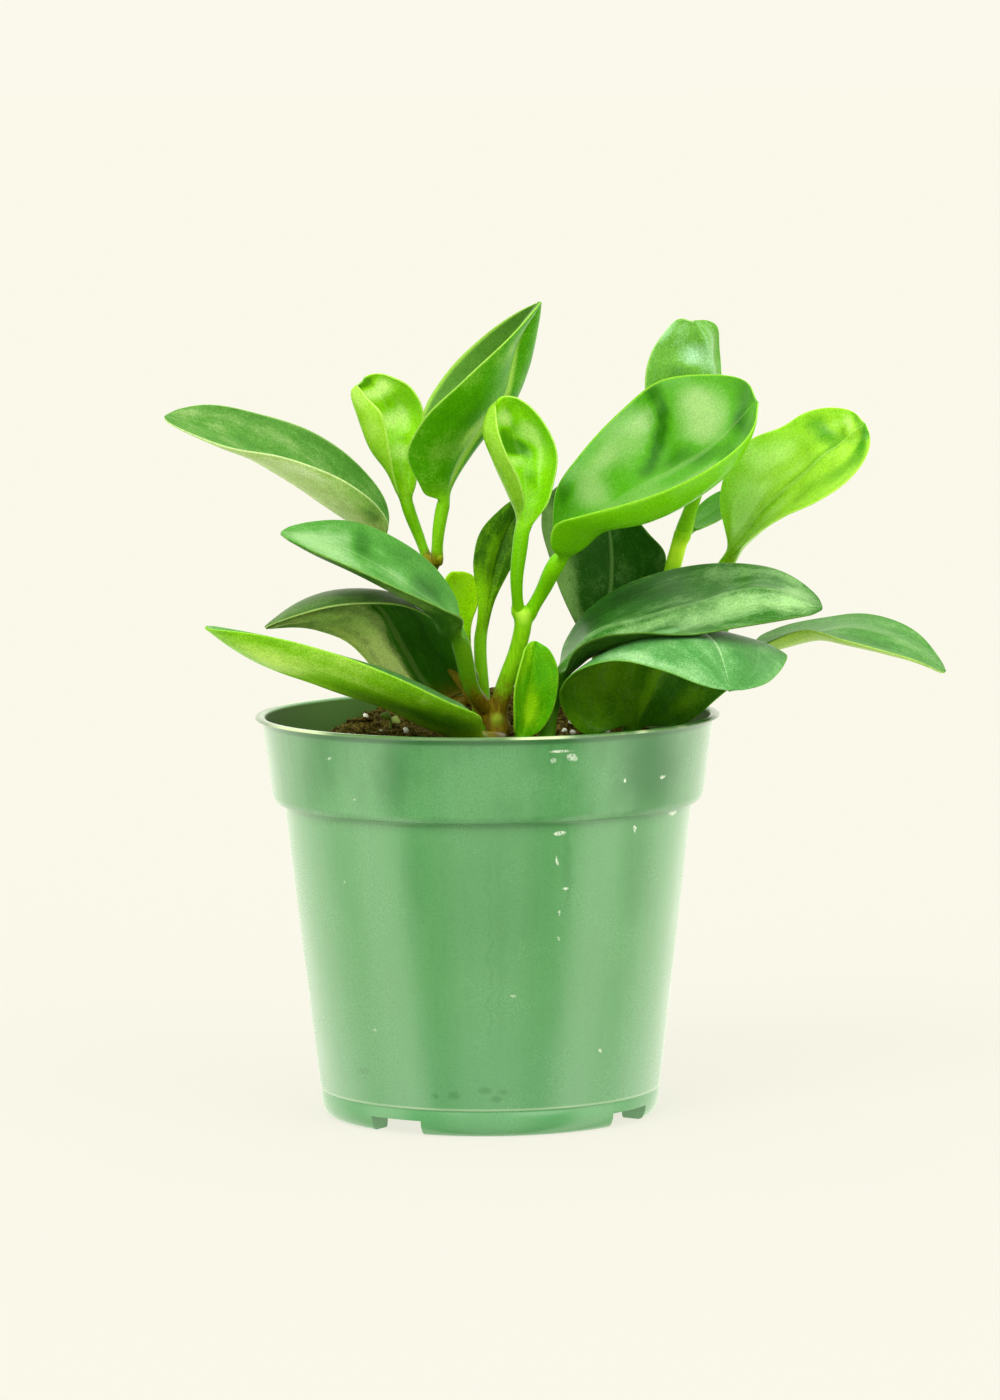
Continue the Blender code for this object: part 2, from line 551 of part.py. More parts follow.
def make_pot(material, parent):
    profile = pot_profile()
    edges = [(i, i + 1) for i in range(len(profile) - 1)]
    mesh = bpy.data.meshes.new("pot")
    mesh.from_pydata([(r * MM, 0, z * MM) for r, z in profile], edges, [])
    mesh.materials.append(material)
    pot = bpy.data.objects.new("pot", mesh)
    bpy.context.scene.collection.objects.link(pot)
    pot.parent = parent
    screw = pot.modifiers.new("turn", "SCREW")
    screw.steps = POT_SIDES
    screw.render_steps = POT_SIDES
    screw.use_merge_vertices = True
    screw.merge_threshold = 0.00001
    screw.use_smooth_shade = True
    foot_inside = FOOT_RADIUS - FOOT_RING_WIDTH
    notch_radii = (foot_inside - CUT_THROUGH, FOOT_RADIUS + 4 * CUT_THROUGH)
    drain_radii = (DRAIN_INNER_RADIUS, foot_inside - 1)
    solids = []
    for direction in NOTCH_DIRECTIONS:
        heights = (-CUT_THROUGH, FLOOR_UNDERSIDE + GAP / 2)
        solids.append(wedge(*notch_radii, *heights, direction, NOTCH_ANGLE))
        heights = (-CUT_THROUGH, FLOOR_TOP + CUT_THROUGH)
        solids.append(wedge(*drain_radii, *heights, direction + DRAIN_TURN, DRAIN_ANGLE))
    cut(pot, as_cutter(add_object("notches", *joined(solids), None, parent)))
    return pot


def soil_height(x, y, radius):
    """Tilted surface: it rises to the back and sinks beside the wall at the left and right."""
    rise = SOIL_SLOPE * max(0.0, y + 3)
    beside_wall = smooth_step((radius - SOIL_SINK_FROM) / SOIL_SINK_OVER)
    sink = SOIL_SINK * beside_wall * min(1.0, abs(x) / SOIL_SINK_FROM) ** 2
    lumps = math.sin(0.55 * x + 1.3) * math.cos(0.47 * y) + 0.6 * math.sin(0.9 * y - 0.35 * x)
    away_from_stems = smooth_step((radius - 10) / 12)
    return SOIL_FRONT + rise - float(sink) + SOIL_LUMP * lumps * float(away_from_stems)


def wall_radius(height):
    """The pot's inner radius at a height, at the middle of a flat side, less the gap."""
    inside = pot_profile()[2:7]
    radius = float(np.interp(height, [p[1] for p in inside], [p[0] for p in inside]))
    return radius * math.cos(math.pi / POT_SIDES) - GAP


def make_soil(material, parent):
    angles = 2 * np.pi * np.arange(SOIL_SIDES) / SOIL_SIDES
    rings = []
    low = FLOOR_TOP + GAP
    foot = wall_radius(FLOOR_TOP + FLOOR_FILLET)
    band_inside = BAND_FOOT + EDGE_ROUNDING
    for radius, height in (
        (foot - FLOOR_FILLET, low),
        (foot, low + FLOOR_FILLET),
        (wall_radius(BODY_TOP), BODY_TOP - GAP),
        (wall_radius(band_inside), band_inside + 2 * GAP),
    ):
        rings.append([(radius * math.cos(a), radius * math.sin(a), height) for a in angles])
    top = []
    for a in angles:
        edge = wall_radius(SOIL_FRONT)
        height = soil_height(edge * math.cos(a), edge * math.sin(a), edge)
        radius = wall_radius(height)
        top.append((radius * math.cos(a), radius * math.sin(a), height))
    rings.append(top)
    for radius in reversed(SOIL_RINGS):
        ring = []
        for a in angles:
            x, y = radius * math.cos(a), radius * math.sin(a)
            ring.append((x, y, soil_height(x, y, radius)))
        rings.append(ring)
    return add_object("soil", *loft(np.array(rings)), material, parent)


def make_stems(material, parent):
    """The forked stem, fused from its two arms, and the single one; and the cutters for their seats."""
    right_arm = (STEM_FORKED_RIGHT, STEM_FORKED_RIGHT_RADII, FORKED_SECTIONS)
    left_arm = (STEM_FORKED_LEFT, STEM_FORKED_LEFT_RADII, FORKED_SECTIONS)
    single = (STEM_RIGHT, STEM_RIGHT_RADII, SINGLE_SECTIONS)
    forked = add_object("stem_forked", *tube(*right_arm), material, parent)
    arm = as_cutter(add_object("left_arm", *tube(*left_arm), None, parent))
    union = forked.modifiers.new("fuse", "BOOLEAN")
    union.operation = "UNION"
    union.solver = "EXACT"
    union.object = arm
    add_object("stem_right", *tube(*single), material, parent)
    seats = {"stem_forked": [right_arm, left_arm], "stem_right": [single]}
    return {
        name: [
            as_cutter(add_object(f"{name}_seat_{i}", *tube(*line, extra=GAP), None, parent))
            for i, line in enumerate(lines)
        ]
        for name, lines in seats.items()
    }


def make_leaves(materials, seats, soil, parent):
    for name, leaf in LEAVES.items():
        thing = add_object(name, *leaf_solid(leaf), materials[leaf["age"]], parent)
        if leaf["seat"] != "soil":
            for cutter in seats[leaf["seat"]]:
                cut(thing, cutter)
            continue
        line, petiole_share = leaf_line(leaf)
        path = curve_through(line, np.linspace(0, petiole_share, HOLE_SECTIONS))
        radii = np.linspace(*leaf["radii"], HOLE_SECTIONS)
        hole = add_object(name + "_hole", *tube(path, radii, HOLE_SECTIONS, extra=HOLE_GAP), None, parent)
        cut(soil, as_cutter(hole))


def stand_on_origin(parent):
    """Moves the whole plant so that the middle of its box, on the ground, is the origin."""
    bpy.context.view_layer.update()
    graph = bpy.context.evaluated_depsgraph_get()
    corners = []
    for thing in bpy.data.objects:
        if thing.type == "MESH" and not thing.hide_render:
            mesh = thing.evaluated_get(graph).to_mesh()
            corners += [thing.matrix_world @ vertex.co for vertex in mesh.vertices]
    points = np.array(corners)
    middle = (points.min(0) + points.max(0)) / 2
    parent.location = (-middle[0], -middle[1], -points[:, 2].min())


def main():
    for thing in list(bpy.data.objects):
        bpy.data.objects.remove(thing, do_unlink=True)
    parent = bpy.data.objects.new("potted_plant", None)
    bpy.context.scene.collection.objects.link(parent)
    materials = {name: principled(name) for name in COLOURS}
    make_pot(materials["pot"], parent)
    soil = make_soil(materials["soil"], parent)
    seats = make_stems(materials["stem"], parent)
    for cutters in seats.values():
        for cutter in cutters:
            cut(soil, cutter)
    make_leaves(materials, seats, soil, parent)
    stand_on_origin(parent)


main()
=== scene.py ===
"""Potted baby rubber plant: the finished look of every piece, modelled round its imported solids.

+X is to the viewer's right, +Y away from the viewer, +Z up. The plant's points and sizes are in
millimetres, measured from the pot's own axis and from the ground, and become metres in a mesh.
"""

import math

import bpy
import numpy as np
from bpy.props import FloatProperty, FloatVectorProperty, IntProperty, PointerProperty
from mathutils import Matrix, Vector, noise


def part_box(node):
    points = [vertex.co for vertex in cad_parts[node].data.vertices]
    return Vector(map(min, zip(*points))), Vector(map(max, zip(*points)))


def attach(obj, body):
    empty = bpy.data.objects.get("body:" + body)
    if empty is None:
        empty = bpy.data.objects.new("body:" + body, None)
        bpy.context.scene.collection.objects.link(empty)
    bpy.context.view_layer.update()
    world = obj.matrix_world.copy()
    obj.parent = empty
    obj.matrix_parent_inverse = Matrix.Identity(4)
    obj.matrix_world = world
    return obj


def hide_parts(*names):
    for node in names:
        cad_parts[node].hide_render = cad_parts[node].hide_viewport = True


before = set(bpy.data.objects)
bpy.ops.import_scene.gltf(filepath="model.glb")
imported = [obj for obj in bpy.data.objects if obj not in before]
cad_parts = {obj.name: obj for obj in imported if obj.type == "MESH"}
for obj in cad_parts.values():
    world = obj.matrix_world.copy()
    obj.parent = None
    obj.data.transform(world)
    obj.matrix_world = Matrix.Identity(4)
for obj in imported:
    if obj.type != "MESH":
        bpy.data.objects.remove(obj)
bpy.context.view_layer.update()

bl_info = {
    "name": "Potted baby rubber plant",
    "version": (1, 0, 0),
    "blender": (4, 5, 0),
    "location": "3D View > Sidebar > Plant",
    "description": "Models the leaves, stems, soil and pot of a young baby rubber plant",
    "category": "Add Mesh",
}

POT_LOW, POT_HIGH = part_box("pot")
POT_AXIS = np.array([(POT_LOW.x + POT_HIGH.x) / 2, (POT_LOW.y + POT_HIGH.y) / 2, POT_LOW.z])
MM = 0.001

# Camera, as the photograph was taken
VIEW_TARGET = (0.0, 0.0, 100.0)
VIEW_DISTANCE = 1500.0
VIEW_ELEVATION = math.radians(5.69)
VIEW_ROLL = math.radians(0.44)
SENSOR = 36.0
LENS = 165.97
SHIFT = (0.0092, -0.0113)

# Light: how bright the room is, by degrees away from the camera's side, as a share of ROOM_SCALE
ROOM_BRIGHTNESS = (
    (0, 0.45), (24, 0.45), (36, 0.0), (55, 0.0), (63, 1.0), (88, 0.95), (95, 0.42), (108, 0.42),
    (120, 0.7), (180, 0.7),
)
OVERHEAD_BRIGHTNESS = 0.5
ROOM_SCALE = 2.2
FLOOR_ALBEDO = 0.12
FLOOR_GLOW = 0.8

# Pot
POT_SIDES = 160
BAND_TOP_RADIUS = 52.4
BAND_FOOT_RADIUS = 50.0
BAND_FOOT = 74.4
STEP_HEIGHT = 73.1
BODY_TOP_RADIUS = 47.3
BODY_TOP = 72.3
GROOVE_HEIGHT = 5.8
GROOVE_RADIUS = 39.6
GROOVE_DEPTH = 0.35
FOOT_RADIUS = 37.6
FOOT_RING_WIDTH = 4.6
FLOOR_UNDERSIDE = 3.4
FLOOR_TOP = 4.9
NOTCH_ANGLE = 21.0
NOTCH_DIRECTIONS = (-124.0, -34.0, 56.0, 146.0)
DRAIN_RADIUS = 30.0
DRAIN_TURN = 45.0

# Soil
SOIL_SIDES = 280
SOIL_RINGS = 74
SOIL_FRONT = 85.0
SOIL_SLOPE = 0.17
SOIL_SINK = 6.0
SOIL_SINK_FROM = 36.0
SOIL_SINK_OVER = 14.0
SOIL_LUMP = 0.5
PERLITE_SPOTS = (
    (-28.8, 30.5, 0.85), (-19.1, 10.8, 0.85), (-25, 12, 0.4), (-33, 20, 0.45), (-15, 20, 0.45),
    (14, 12, 0.8), (18, 9, 0.6), (20, 16, 0.7),
)
SPROUT = (-22.8, 14.0)

# Marks on the pot's front: middle (x and height), half width, half height, and how strong
# Painted dark reflections of things in front of the pot and painted shade, with small dark spots near the
# foot
POT_PAINTED_SHADE_AND_REFLECTIONS = (
    (-17.5, 58, 3.0, 15, 0.16), (-21.5, 84, 4.5, 10, 0.5), (2, 58, 18, 22, 0.2), (2.5, 50, 1.6, 30, 0.12),
    (0.2, 45, 0.5, 26, 0.18), (18, 62, 1.4, 12, 0.25), (-12.7, 9.5, 1.2, 0.8, 0.45),
    (-8.1, 9.8, 1.7, 1.2, 0.4), (-1.6, 11, 1.7, 1.0, 0.45), (1.1, 9, 1.3, 1.0, 0.45),
    (2.9, 10.6, 1.2, 0.8, 0.4), (-29.4, 14, 1.2, 1.0, 0.3), (37, 84, 9, 12, 0.95),
    (-39, 84, 5, 12, 0.3), (34, 60, 5, 14, 0.25),
)
POT_SCRATCHES = (
    (16.3, 70.4, 1.9, 0.6, 1.0), (16.6, 89.6, 3.2, 0.4, 0.8), (19.3, 88.1, 1.1, 1.0, 0.7),
    (14.4, 87.6, 1.0, 0.8, 0.6), (31, 81.9, 0.6, 0.6, 1.0), (39.5, 81.6, 0.5, 0.5, 0.9),
    (25.1, 18.8, 0.6, 0.6, 0.9), (33.2, 69.8, 0.4, 1.1, 0.9), (42.4, 72.0, 0.8, 0.6, 1.0),
    (15.4, 64, 0.4, 1.4, 0.8), (17.4, 57.5, 0.9, 0.4, 0.9), (16.6, 52, 0.4, 0.8, 0.8),
    (15.2, 46, 0.3, 0.6, 0.6), (-33, 58, 0.4, 0.4, 0.5), (6, 33, 0.35, 0.4, 0.5),
    (-26, 24, 0.4, 0.35, 0.5), (-36, 87, 0.5, 0.4, 0.5), (-30, 78, 0.4, 0.3, 0.5),
)

# Leaves: the shares of a half blade at which it has points, from the midrib out to the margin
HALF_ACROSS = (0.05, 0.12, 0.2, 0.3, 0.42, 0.55, 0.68, 0.8, 0.9, 0.96, 1.0)
ACROSS = np.array([-s for s in reversed(HALF_ACROSS)] + [0.0] + list(HALF_ACROSS))
BLADE_SECTIONS = 64
PETIOLE_SECTIONS = 14
EVEN_SPACING = 0.25
BLADE_CENTRE = 1.25
BLADE_EDGE = 0.45
TIP_RADIUS = 1.2
TIP_NARROWEST = 0.12
TIP_FROM = 0.8
TIP_THINNING = 0.25
BOW_FULLNESS = 0.8
ROUND_SHARE = 0.16
SEAT_FLARE = 0.35

# Stems: points along each arm, in order from the soil up, and the radius at each
STEM_FORKED_RIGHT = (
    (2.5, -2, 83), (2.5, -2, 88.5), (2.5, -2, 93.5), (4.5, -2, 101),
    (7, -3, 108), (8.5, -4, 115), (8.5, -4, 118),
)
STEM_FORKED_RIGHT_RADII = (2.6, 2.5, 2.3, 2.1, 2.0, 2.1, 1.6)
STEM_FORKED_LEFT = (
    (2.5, -2, 89.5), (0, -1, 93.5), (-4, 3, 98.5), (-9.5, 6, 106.5),
    (-14.5, 8, 115.5), (-14.5, 8, 121.5), (-12.5, 6, 129),
)
STEM_FORKED_LEFT_RADII = (2.3, 2.2, 2.1, 2.0, 2.1, 1.8, 2.0)
STEM_RIGHT = ((29, 10, 81.5), (31, 11, 88), (36, 13, 102), (41.5, 15, 118), (46, 16, 134))
STEM_RIGHT_RADII = (2.3, 2.3, 2.1, 2.0, 1.9)

# The leaves that grow on each stem, and the swollen joints of each: place and radius
GROWS_ON = {
    "stem_forked": (
        "leaf_upper_left", "leaf_middle_left", "leaf_arched_left", "leaf_low_left", "leaf_young_left",
        "leaf_tall", "leaf_young_centre", "leaf_large_right",
    ),
    "stem_right": (
        "leaf_top_right", "leaf_small_right", "leaf_bright_right", "leaf_dark_centre", "leaf_far_right",
    ),
}
NODES = {
    "stem_forked": (
        ((8.3, -4, 116.4), 2.3), ((-12.8, 6.4, 127.6), 2.1), ((2.5, -2, 90), 3.0), ((2.3, -3.7, 92), 1.6),
        ((-14.5, 7.9, 118.6), 2.3),
    ),
    "stem_right": (((46, 16, 133), 2.2), ((40.3, 14.6, 114), 2.3), ((34.6, 12.7, 98), 2.4)),
}

# Each leaf: the points of its petiole and midrib from the seat to the tip, the points on its left and
# right margins, how far each half bows below its chord (one depth, or the points along the middle of
# that half), and its petiole's radii. Left and right are as seen from the petiole, upper face up.
LEAVES = {
    "leaf_upper_left": dict(
        petiole=((-14.5, 8, 118.5), (-17.5, 8, 122), (-21, 7, 128)),
        midrib=((-26, 6, 133.5), (-34.5, 5, 140), (-45.5, 5, 147.5), (-59.5, 5, 156), (-74.5, 5, 162.5)),
        left=((-22, 5, 131.5), (-22.5, 0, 137.5), (-32, -10, 148), (-45.5, -9, 153.5), (-60, -4, 156)),
        right=((-22, 12, 131.5), (-23.5, 16, 142), (-29.5, 18, 150), (-38.5, 18, 157),
               (-52.5, 14, 162.5), (-66.5, 9, 165)),
        bow=(1.2, 1.5), radii=(1.5, 1.6),
    ),
    "leaf_middle_left": dict(
        petiole=((0.5, -1, 93.5), (-3.3, -6, 99), (-5.8, -10, 109.5)),
        midrib=((-7.5, -11, 115), (-15.5, -13, 122), (-25, -15, 128.5),
                (-36, -17, 134), (-47, -19, 137)),
        left=((-4.2, -16, 115), (-10.5, -24, 120), (-19.5, -29, 124.6),
              (-27.5, -30, 128.5), (-36.5, -28, 132.3)),
        right=((-5, -6, 113.5), (-6.5, -3, 119), (-11, -2, 126.5), (-20, -4, 134),
               (-29, -4, 138), (-40.5, -12, 139)),
        bow=(((-7.6, -13, 109.3), (-12.6, -18.5, 117.6), (-22.2, -22, 124), (-31.7, -23.5, 129.5),
              (-41.5, -23.5, 134.2)), 0.8),
        radii=(1.6, 1.7),
    ),
    "leaf_arched_left": dict(
        petiole=((-3, 3, 97), (-5.5, 5, 95.5), (-8, 7, 95)),
        midrib=((-14, 9, 99.5), (-20, 7, 109.5), (-25.5, 3, 118.8), (-33, -2, 121.3),
                (-43, -8, 119.5), (-51, -11, 114.5)),
        left=((-2, 0, 100.5), (-5.5, -7, 108.5), (-10.5, -11, 115), (-18.5, -15, 119.5),
              (-27.5, -18, 120.5), (-35.5, -20, 120), (-43, -18, 118)),
        right=((-16, 18, 93.5), (-24, 22, 99), (-32, 16, 108), (-38.5, 6, 112), (-44.5, -4, 114)),
        bow=(-2.2, 0.8), radii=(1.6, 1.7),
    ),
    "leaf_low_left": dict(
        petiole=((2.5, -2, 88), (2.5, -8, 88), (1, -13, 88.5)),
        midrib=((-9, -19, 90.5), (-24.5, -25, 98), (-38, -30, 103.5),
                (-51, -35, 108.5), (-63.5, -40, 117.5)),
        left=((0.5, -19, 92.5), (-2, -25, 95.5), (-8.5, -31, 99), (-19.5, -37, 105),
              (-33, -42, 111), (-51, -44, 116)),
        right=((-1, -8, 93.5), (-8.5, -3, 97), (-20, -6, 103), (-34, -14, 108.5), (-51, -28, 114.5)),
        bow=(2.5, 1.5), radii=(1.7, 1.9),
    ),
    "leaf_young_left": dict(
        petiole=((-13.5, 8, 128), (-15.5, 9, 133.5), (-18, 8, 140.5)),
        midrib=((-19.5, 8, 147), (-20.5, 11, 155), (-22.5, 12, 163), (-28, 8, 171)),
        left=((-21, 3, 147.2), (-22.4, 0, 157), (-24, 0, 163.5), (-27, 2, 166.5), (-29.5, 4, 169.5)),
        right=((-16.3, 6, 146.5), (-15, 6, 156.5), (-14.5, 6, 163.5), (-17.5, 7, 169), (-22.5, 8, 171.5)),
        bow=(((-22, 6, 148), (-27, 6, 155.5), (-29.5, 6, 162.5), (-30.5, 6, 168)), 2.0),
        radii=(1.05, 1.4),
    ),
    "leaf_tall": dict(
        petiole=((-11.5, 5, 128.5), (-11, 4, 135.5), (-10, 5, 141)),
        midrib=((-7, 6, 150.5), (-1.5, 6, 159.5), (4.3, 6, 167), (5.6, 6, 173.5),
                (7, 5, 180), (13, 3, 188.5)),
        left=((-11.5, 10, 144.5), (-15.5, 16, 153.5), (-14.5, 20, 162.5), (-9, 21, 171.5),
              (-1, 19, 179.5), (7, 12, 185.5)),
        right=((-13.5, 3, 143.2), (-15.6, 1, 147), (-18.2, -2, 153.5), (-15, -5, 161),
               (-5, -7, 171), (5.5, -5, 180.5)),
        bow=(((-7.6, 9, 147.5), (-2, 13, 157), (5, 15, 165), (9.5, 14, 173.5), (12, 9, 182)), 2.0),
        radii=(1.25, 1.5),
    ),
    "leaf_young_centre": dict(
        petiole=((7.5, -4, 116.5), (7, -7, 125), (8, -8, 134)),
        midrib=((9, -7, 142), (8.5, -4, 151), (6, -3, 159.5), (3.5, -8, 167)),
        left=((9, -13, 142.5), (7.5, -16, 149.5), (5, -17, 154.5), (3, -16, 160.5), (2.5, -13, 165)),
        right=((12, -10, 137.5), (15.5, -10, 147), (16.5, -10, 154), (14, -9, 160.5), (9, -8, 166)),
        bow=(((6, -10, 143.5), (2, -11, 152.5), (0, -11, 160), (1.5, -10, 165)), 2.0),
        radii=(1.2, 1.5),
    ),
    "leaf_behind_centre": dict(
        petiole=((-0.5, 9, 84), (-1, 10, 97.5), (-1.5, 12, 109)),
        midrib=((0, 13, 118.5), (2, 14, 128), (5, 15, 136), (11, 16, 143.5)),
        left=((2, 12, 118.5), (5, 13, 124.5), (9, 14, 131.5), (11.5, 15, 138)),
        right=((-2, 10, 117.5), (-3, 9, 128.5), (-1.5, 10, 134.5), (3.5, 12, 140)),
        bow=(0.8, 1.2), radii=(1.6, 1.5),
    ),
    "leaf_small_back": dict(
        petiole=((-2, 15, 86), (-3, 16, 97), (-4.5, 17, 106.5)),
        midrib=((-5.5, 17, 113.5), (-7, 17, 120.5), (-8, 15, 125)),
        left=((-7.5, 15, 109), (-10, 14, 116), (-10, 14, 122)),
        right=((-4, 15, 112), (-2, 14, 118.5), (-3, 14, 124)),
        bow=(0.8, 0.8), radii=(1.1, 1.0),
    ),
    "leaf_large_right": dict(
        petiole=((9.5, -3, 116), (12.7, -5, 121.6), (16.1, -9.5, 128.6)),
        midrib=((21.5, -10, 135.5), (30, -9, 141.5), (40, -9, 148.5), (50.5, -10, 154.5), (62.5, -14, 166)),
        left=((15.5, -2, 138.5), (16.5, 2, 145.5), (21.5, 5, 152.5), (31.5, 7, 163),
              (40.5, 6, 170), (50, 3, 171.5), (60, -5, 170.4)),
        right=((15.2, -14.5, 130.8), (15.9, -22, 138.8), (21.5, -26.5, 141), (30.5, -30, 143.6),
               (40.5, -32, 147), (51.5, -30, 152.3), (60.3, -23, 159.2)),
        bow=(2.2, ((20, -14, 132), (26, -20, 137), (36.5, -22, 139),
                   (46.5, -22, 143.5), (56.5, -20, 151.5))),
        radii=(1.45, 1.8),
    ),
    "leaf_top_right": dict(
        petiole=((46, 16, 133.5), (49, 15, 142.5), (53, 14, 156.5)),
        midrib=((53.5, 13, 165), (53, 12, 173), (51.5, 12, 179), (49, 13, 183.5)),
        left=((48, 10, 160.5), (38, 8, 164.5), (37.5, 8, 172.5), (41.5, 11, 180.5), (46, 13, 184)),
        right=((55, 18, 161), (55.5, 20, 168), (55, 19, 176.5), (54, 16, 182.5)),
        bow=(1.5, 1.2), radii=(1.6, 1.6),
    ),
    "leaf_small_right": dict(
        petiole=((45.5, 16, 132), (48, 20, 134)),
        midrib=((52, 21, 137), (56, 22, 139.5), (60.5, 22, 141.5)),
        left=((49, 24, 138), (52, 25, 141), (56, 25, 143)),
        right=((50, 17, 134.5), (54.5, 17, 136.5), (58, 18, 139)),
        bow=(0.5, 0.5), radii=(1.0, 1.0),
    ),
    "leaf_bright_right": dict(
        petiole=((39.5, 14, 111.5), (49, 12, 118.5), (56.5, 10, 127.5)),
        midrib=((60, 6, 133.5), (65, 4, 140), (73, 2, 147), (80.5, 0, 154), (88, 0, 160)),
        left=((54.5, 12, 131), (54.5, 13, 138), (55.5, 13, 146.5), (61.5, 12, 155.5), (69.5, 10, 159),
              (74, 8, 162), (80.5, 5, 163.5), (85.5, 2, 162.5)),
        right=((60.5, 0, 133), (68.5, -6, 139), (76, -9, 142.5), (83, -9, 147),
               (87.5, -6, 152), (89, -2, 156)),
        bow=(1.6, 1.6), radii=(1.5, 1.5),
    ),
    "leaf_dark_centre": dict(
        petiole=((31.5, 12, 89.5), (28.5, 17, 95.5), (26.5, 19, 105)),
        midrib=((28, 21, 113), (29.5, 23, 123.5), (29, 24, 134), (24, 24, 145.5)),
        left=((21.5, 14, 111.5), (17, 12, 121.5), (15, 12, 128), (13, 14, 136),
              (14, 18, 141.5), (18, 22, 145)),
        right=((33.5, 18, 109.5), (40.5, 18, 120), (42, 19, 129), (38.5, 21, 133), (31.5, 23, 141)),
        bow=(1.5, 1.0), radii=(1.8, 1.9),
    ),
    "leaf_broad_right": dict(
        petiole=((14, -12, 82), (14, -11, 92), (16, -10, 100)),
        midrib=((20, -10, 108), (26, -10, 113.5), (36.5, -11, 116), (49, -13, 119.5),
                (64.5, -16, 122.5), (77, -18, 118.5)),
        left=((16, -2, 104), (18.5, 3, 110), (23, 7, 116), (31, 9, 121.5), (42.5, 9, 125.5),
              (56, 4, 127.5), (67, -2, 126.5), (74, -10, 123)),
        right=((17.5, -18, 103.5), (20.5, -24, 110.5), (26, -28, 113.5), (33.5, -30, 114.5),
               (46, -31, 114), (57.5, -29, 115.5), (69.5, -24, 117)),
        bow=(1.2, ((18.8, -14, 103), (23.5, -17, 107.8), (31.5, -19.5, 110.5), (41.5, -21.5, 113.5),
                   (55, -22.3, 116.8), (69, -21.8, 117.8))),
        radii=(1.9, 2.0),
    ),
    "leaf_nodding_right": dict(
        petiole=((32, -2, 82), (32.5, -2, 86), (33, -3, 88.5)),
        midrib=((36, -6, 96), (40.5, -9, 106.5), (46.5, -16.5, 113.6), (51.5, -28, 111.2), (55, -40, 102)),
        left=((40, -1, 88), (47, 0, 91), (54.5, 0, 97), (63.5, -5, 104.5), (69, -15, 107.6),
              (66.5, -26, 104.5), (61.5, -36, 102.5)),
        right=((25, -8, 87.5), (18.5, -12, 93), (16.5, -17, 99), (19, -23, 104), (28.5, -30, 108),
               (39.5, -37, 106.5), (50, -41, 103)),
        bow=(-2.0, -2.2), radii=(1.9, 2.0),
    ),
    "leaf_far_right": dict(
        petiole=((34.5, 13, 97.5), (43, 14, 97), (51, 12, 99.5), (58.5, 8, 104)),
        midrib=((65, 5, 107.5), (75, 3, 110.5), (84.5, 2, 112), (96, 1, 109), (106.5, 0, 102)),
        left=((61, 12, 107.5), (68, 16, 111), (80, 17, 113.5), (87.5, 15, 114.5),
              (94.5, 11, 113.5), (100, 7, 111)),
        right=((61.5, 0, 107), (66.5, -6, 110.5), (74, -10, 113), (81.5, -12, 111),
               (91.5, -10, 108), (100, -6, 105)),
        bow=(1.0, 2.0), radii=(1.6, 1.6),
    ),
    "leaf_small_front": dict(
        petiole=((7.5, -14, 82), (7.5, -14, 87.5)),
        midrib=((9, -15, 94.5), (10, -16, 102.5), (11, -16, 111.5)),
        left=((6.3, -18, 93), (6.4, -20, 100.5), (8.2, -19, 108)),
        right=((14.2, -16, 93.5), (16.2, -16, 100), (16.2, -16, 105.5), (14, -16, 110)),
        bow=(1.2, 0.8), radii=(1.4, 1.4),
    ),
    "leaf_back_right": dict(
        petiole=((29.5, 26, 86), (33.5, 28, 93.5), (37.5, 31, 97.5)),
        midrib=((43, 38, 103), (48.5, 46, 108), (54.5, 56, 113)),
        left=((36.5, 38, 104), (40.5, 48, 111), (48, 58, 114.5)),
        right=((48, 34, 98), (55, 42, 103.5), (58, 52, 110)),
        bow=(1.2, 1.2), radii=(1.7, 1.7),
    ),
    "leaf_back_left": dict(
        petiole=((-5, 24, 86), (-7, 27, 94), (-8.5, 30, 97)),
        midrib=((-11, 37, 101), (-13.5, 46, 105), (-15, 56, 109)),
        left=((-15.5, 34, 97.5), (-20, 44, 103), (-20, 54, 107.5)),
        right=((-6.5, 40, 101.5), (-7, 48, 106), (-10.5, 56, 109)),
        bow=(1.2, 1.2), radii=(1.7, 1.7),
    ),
}
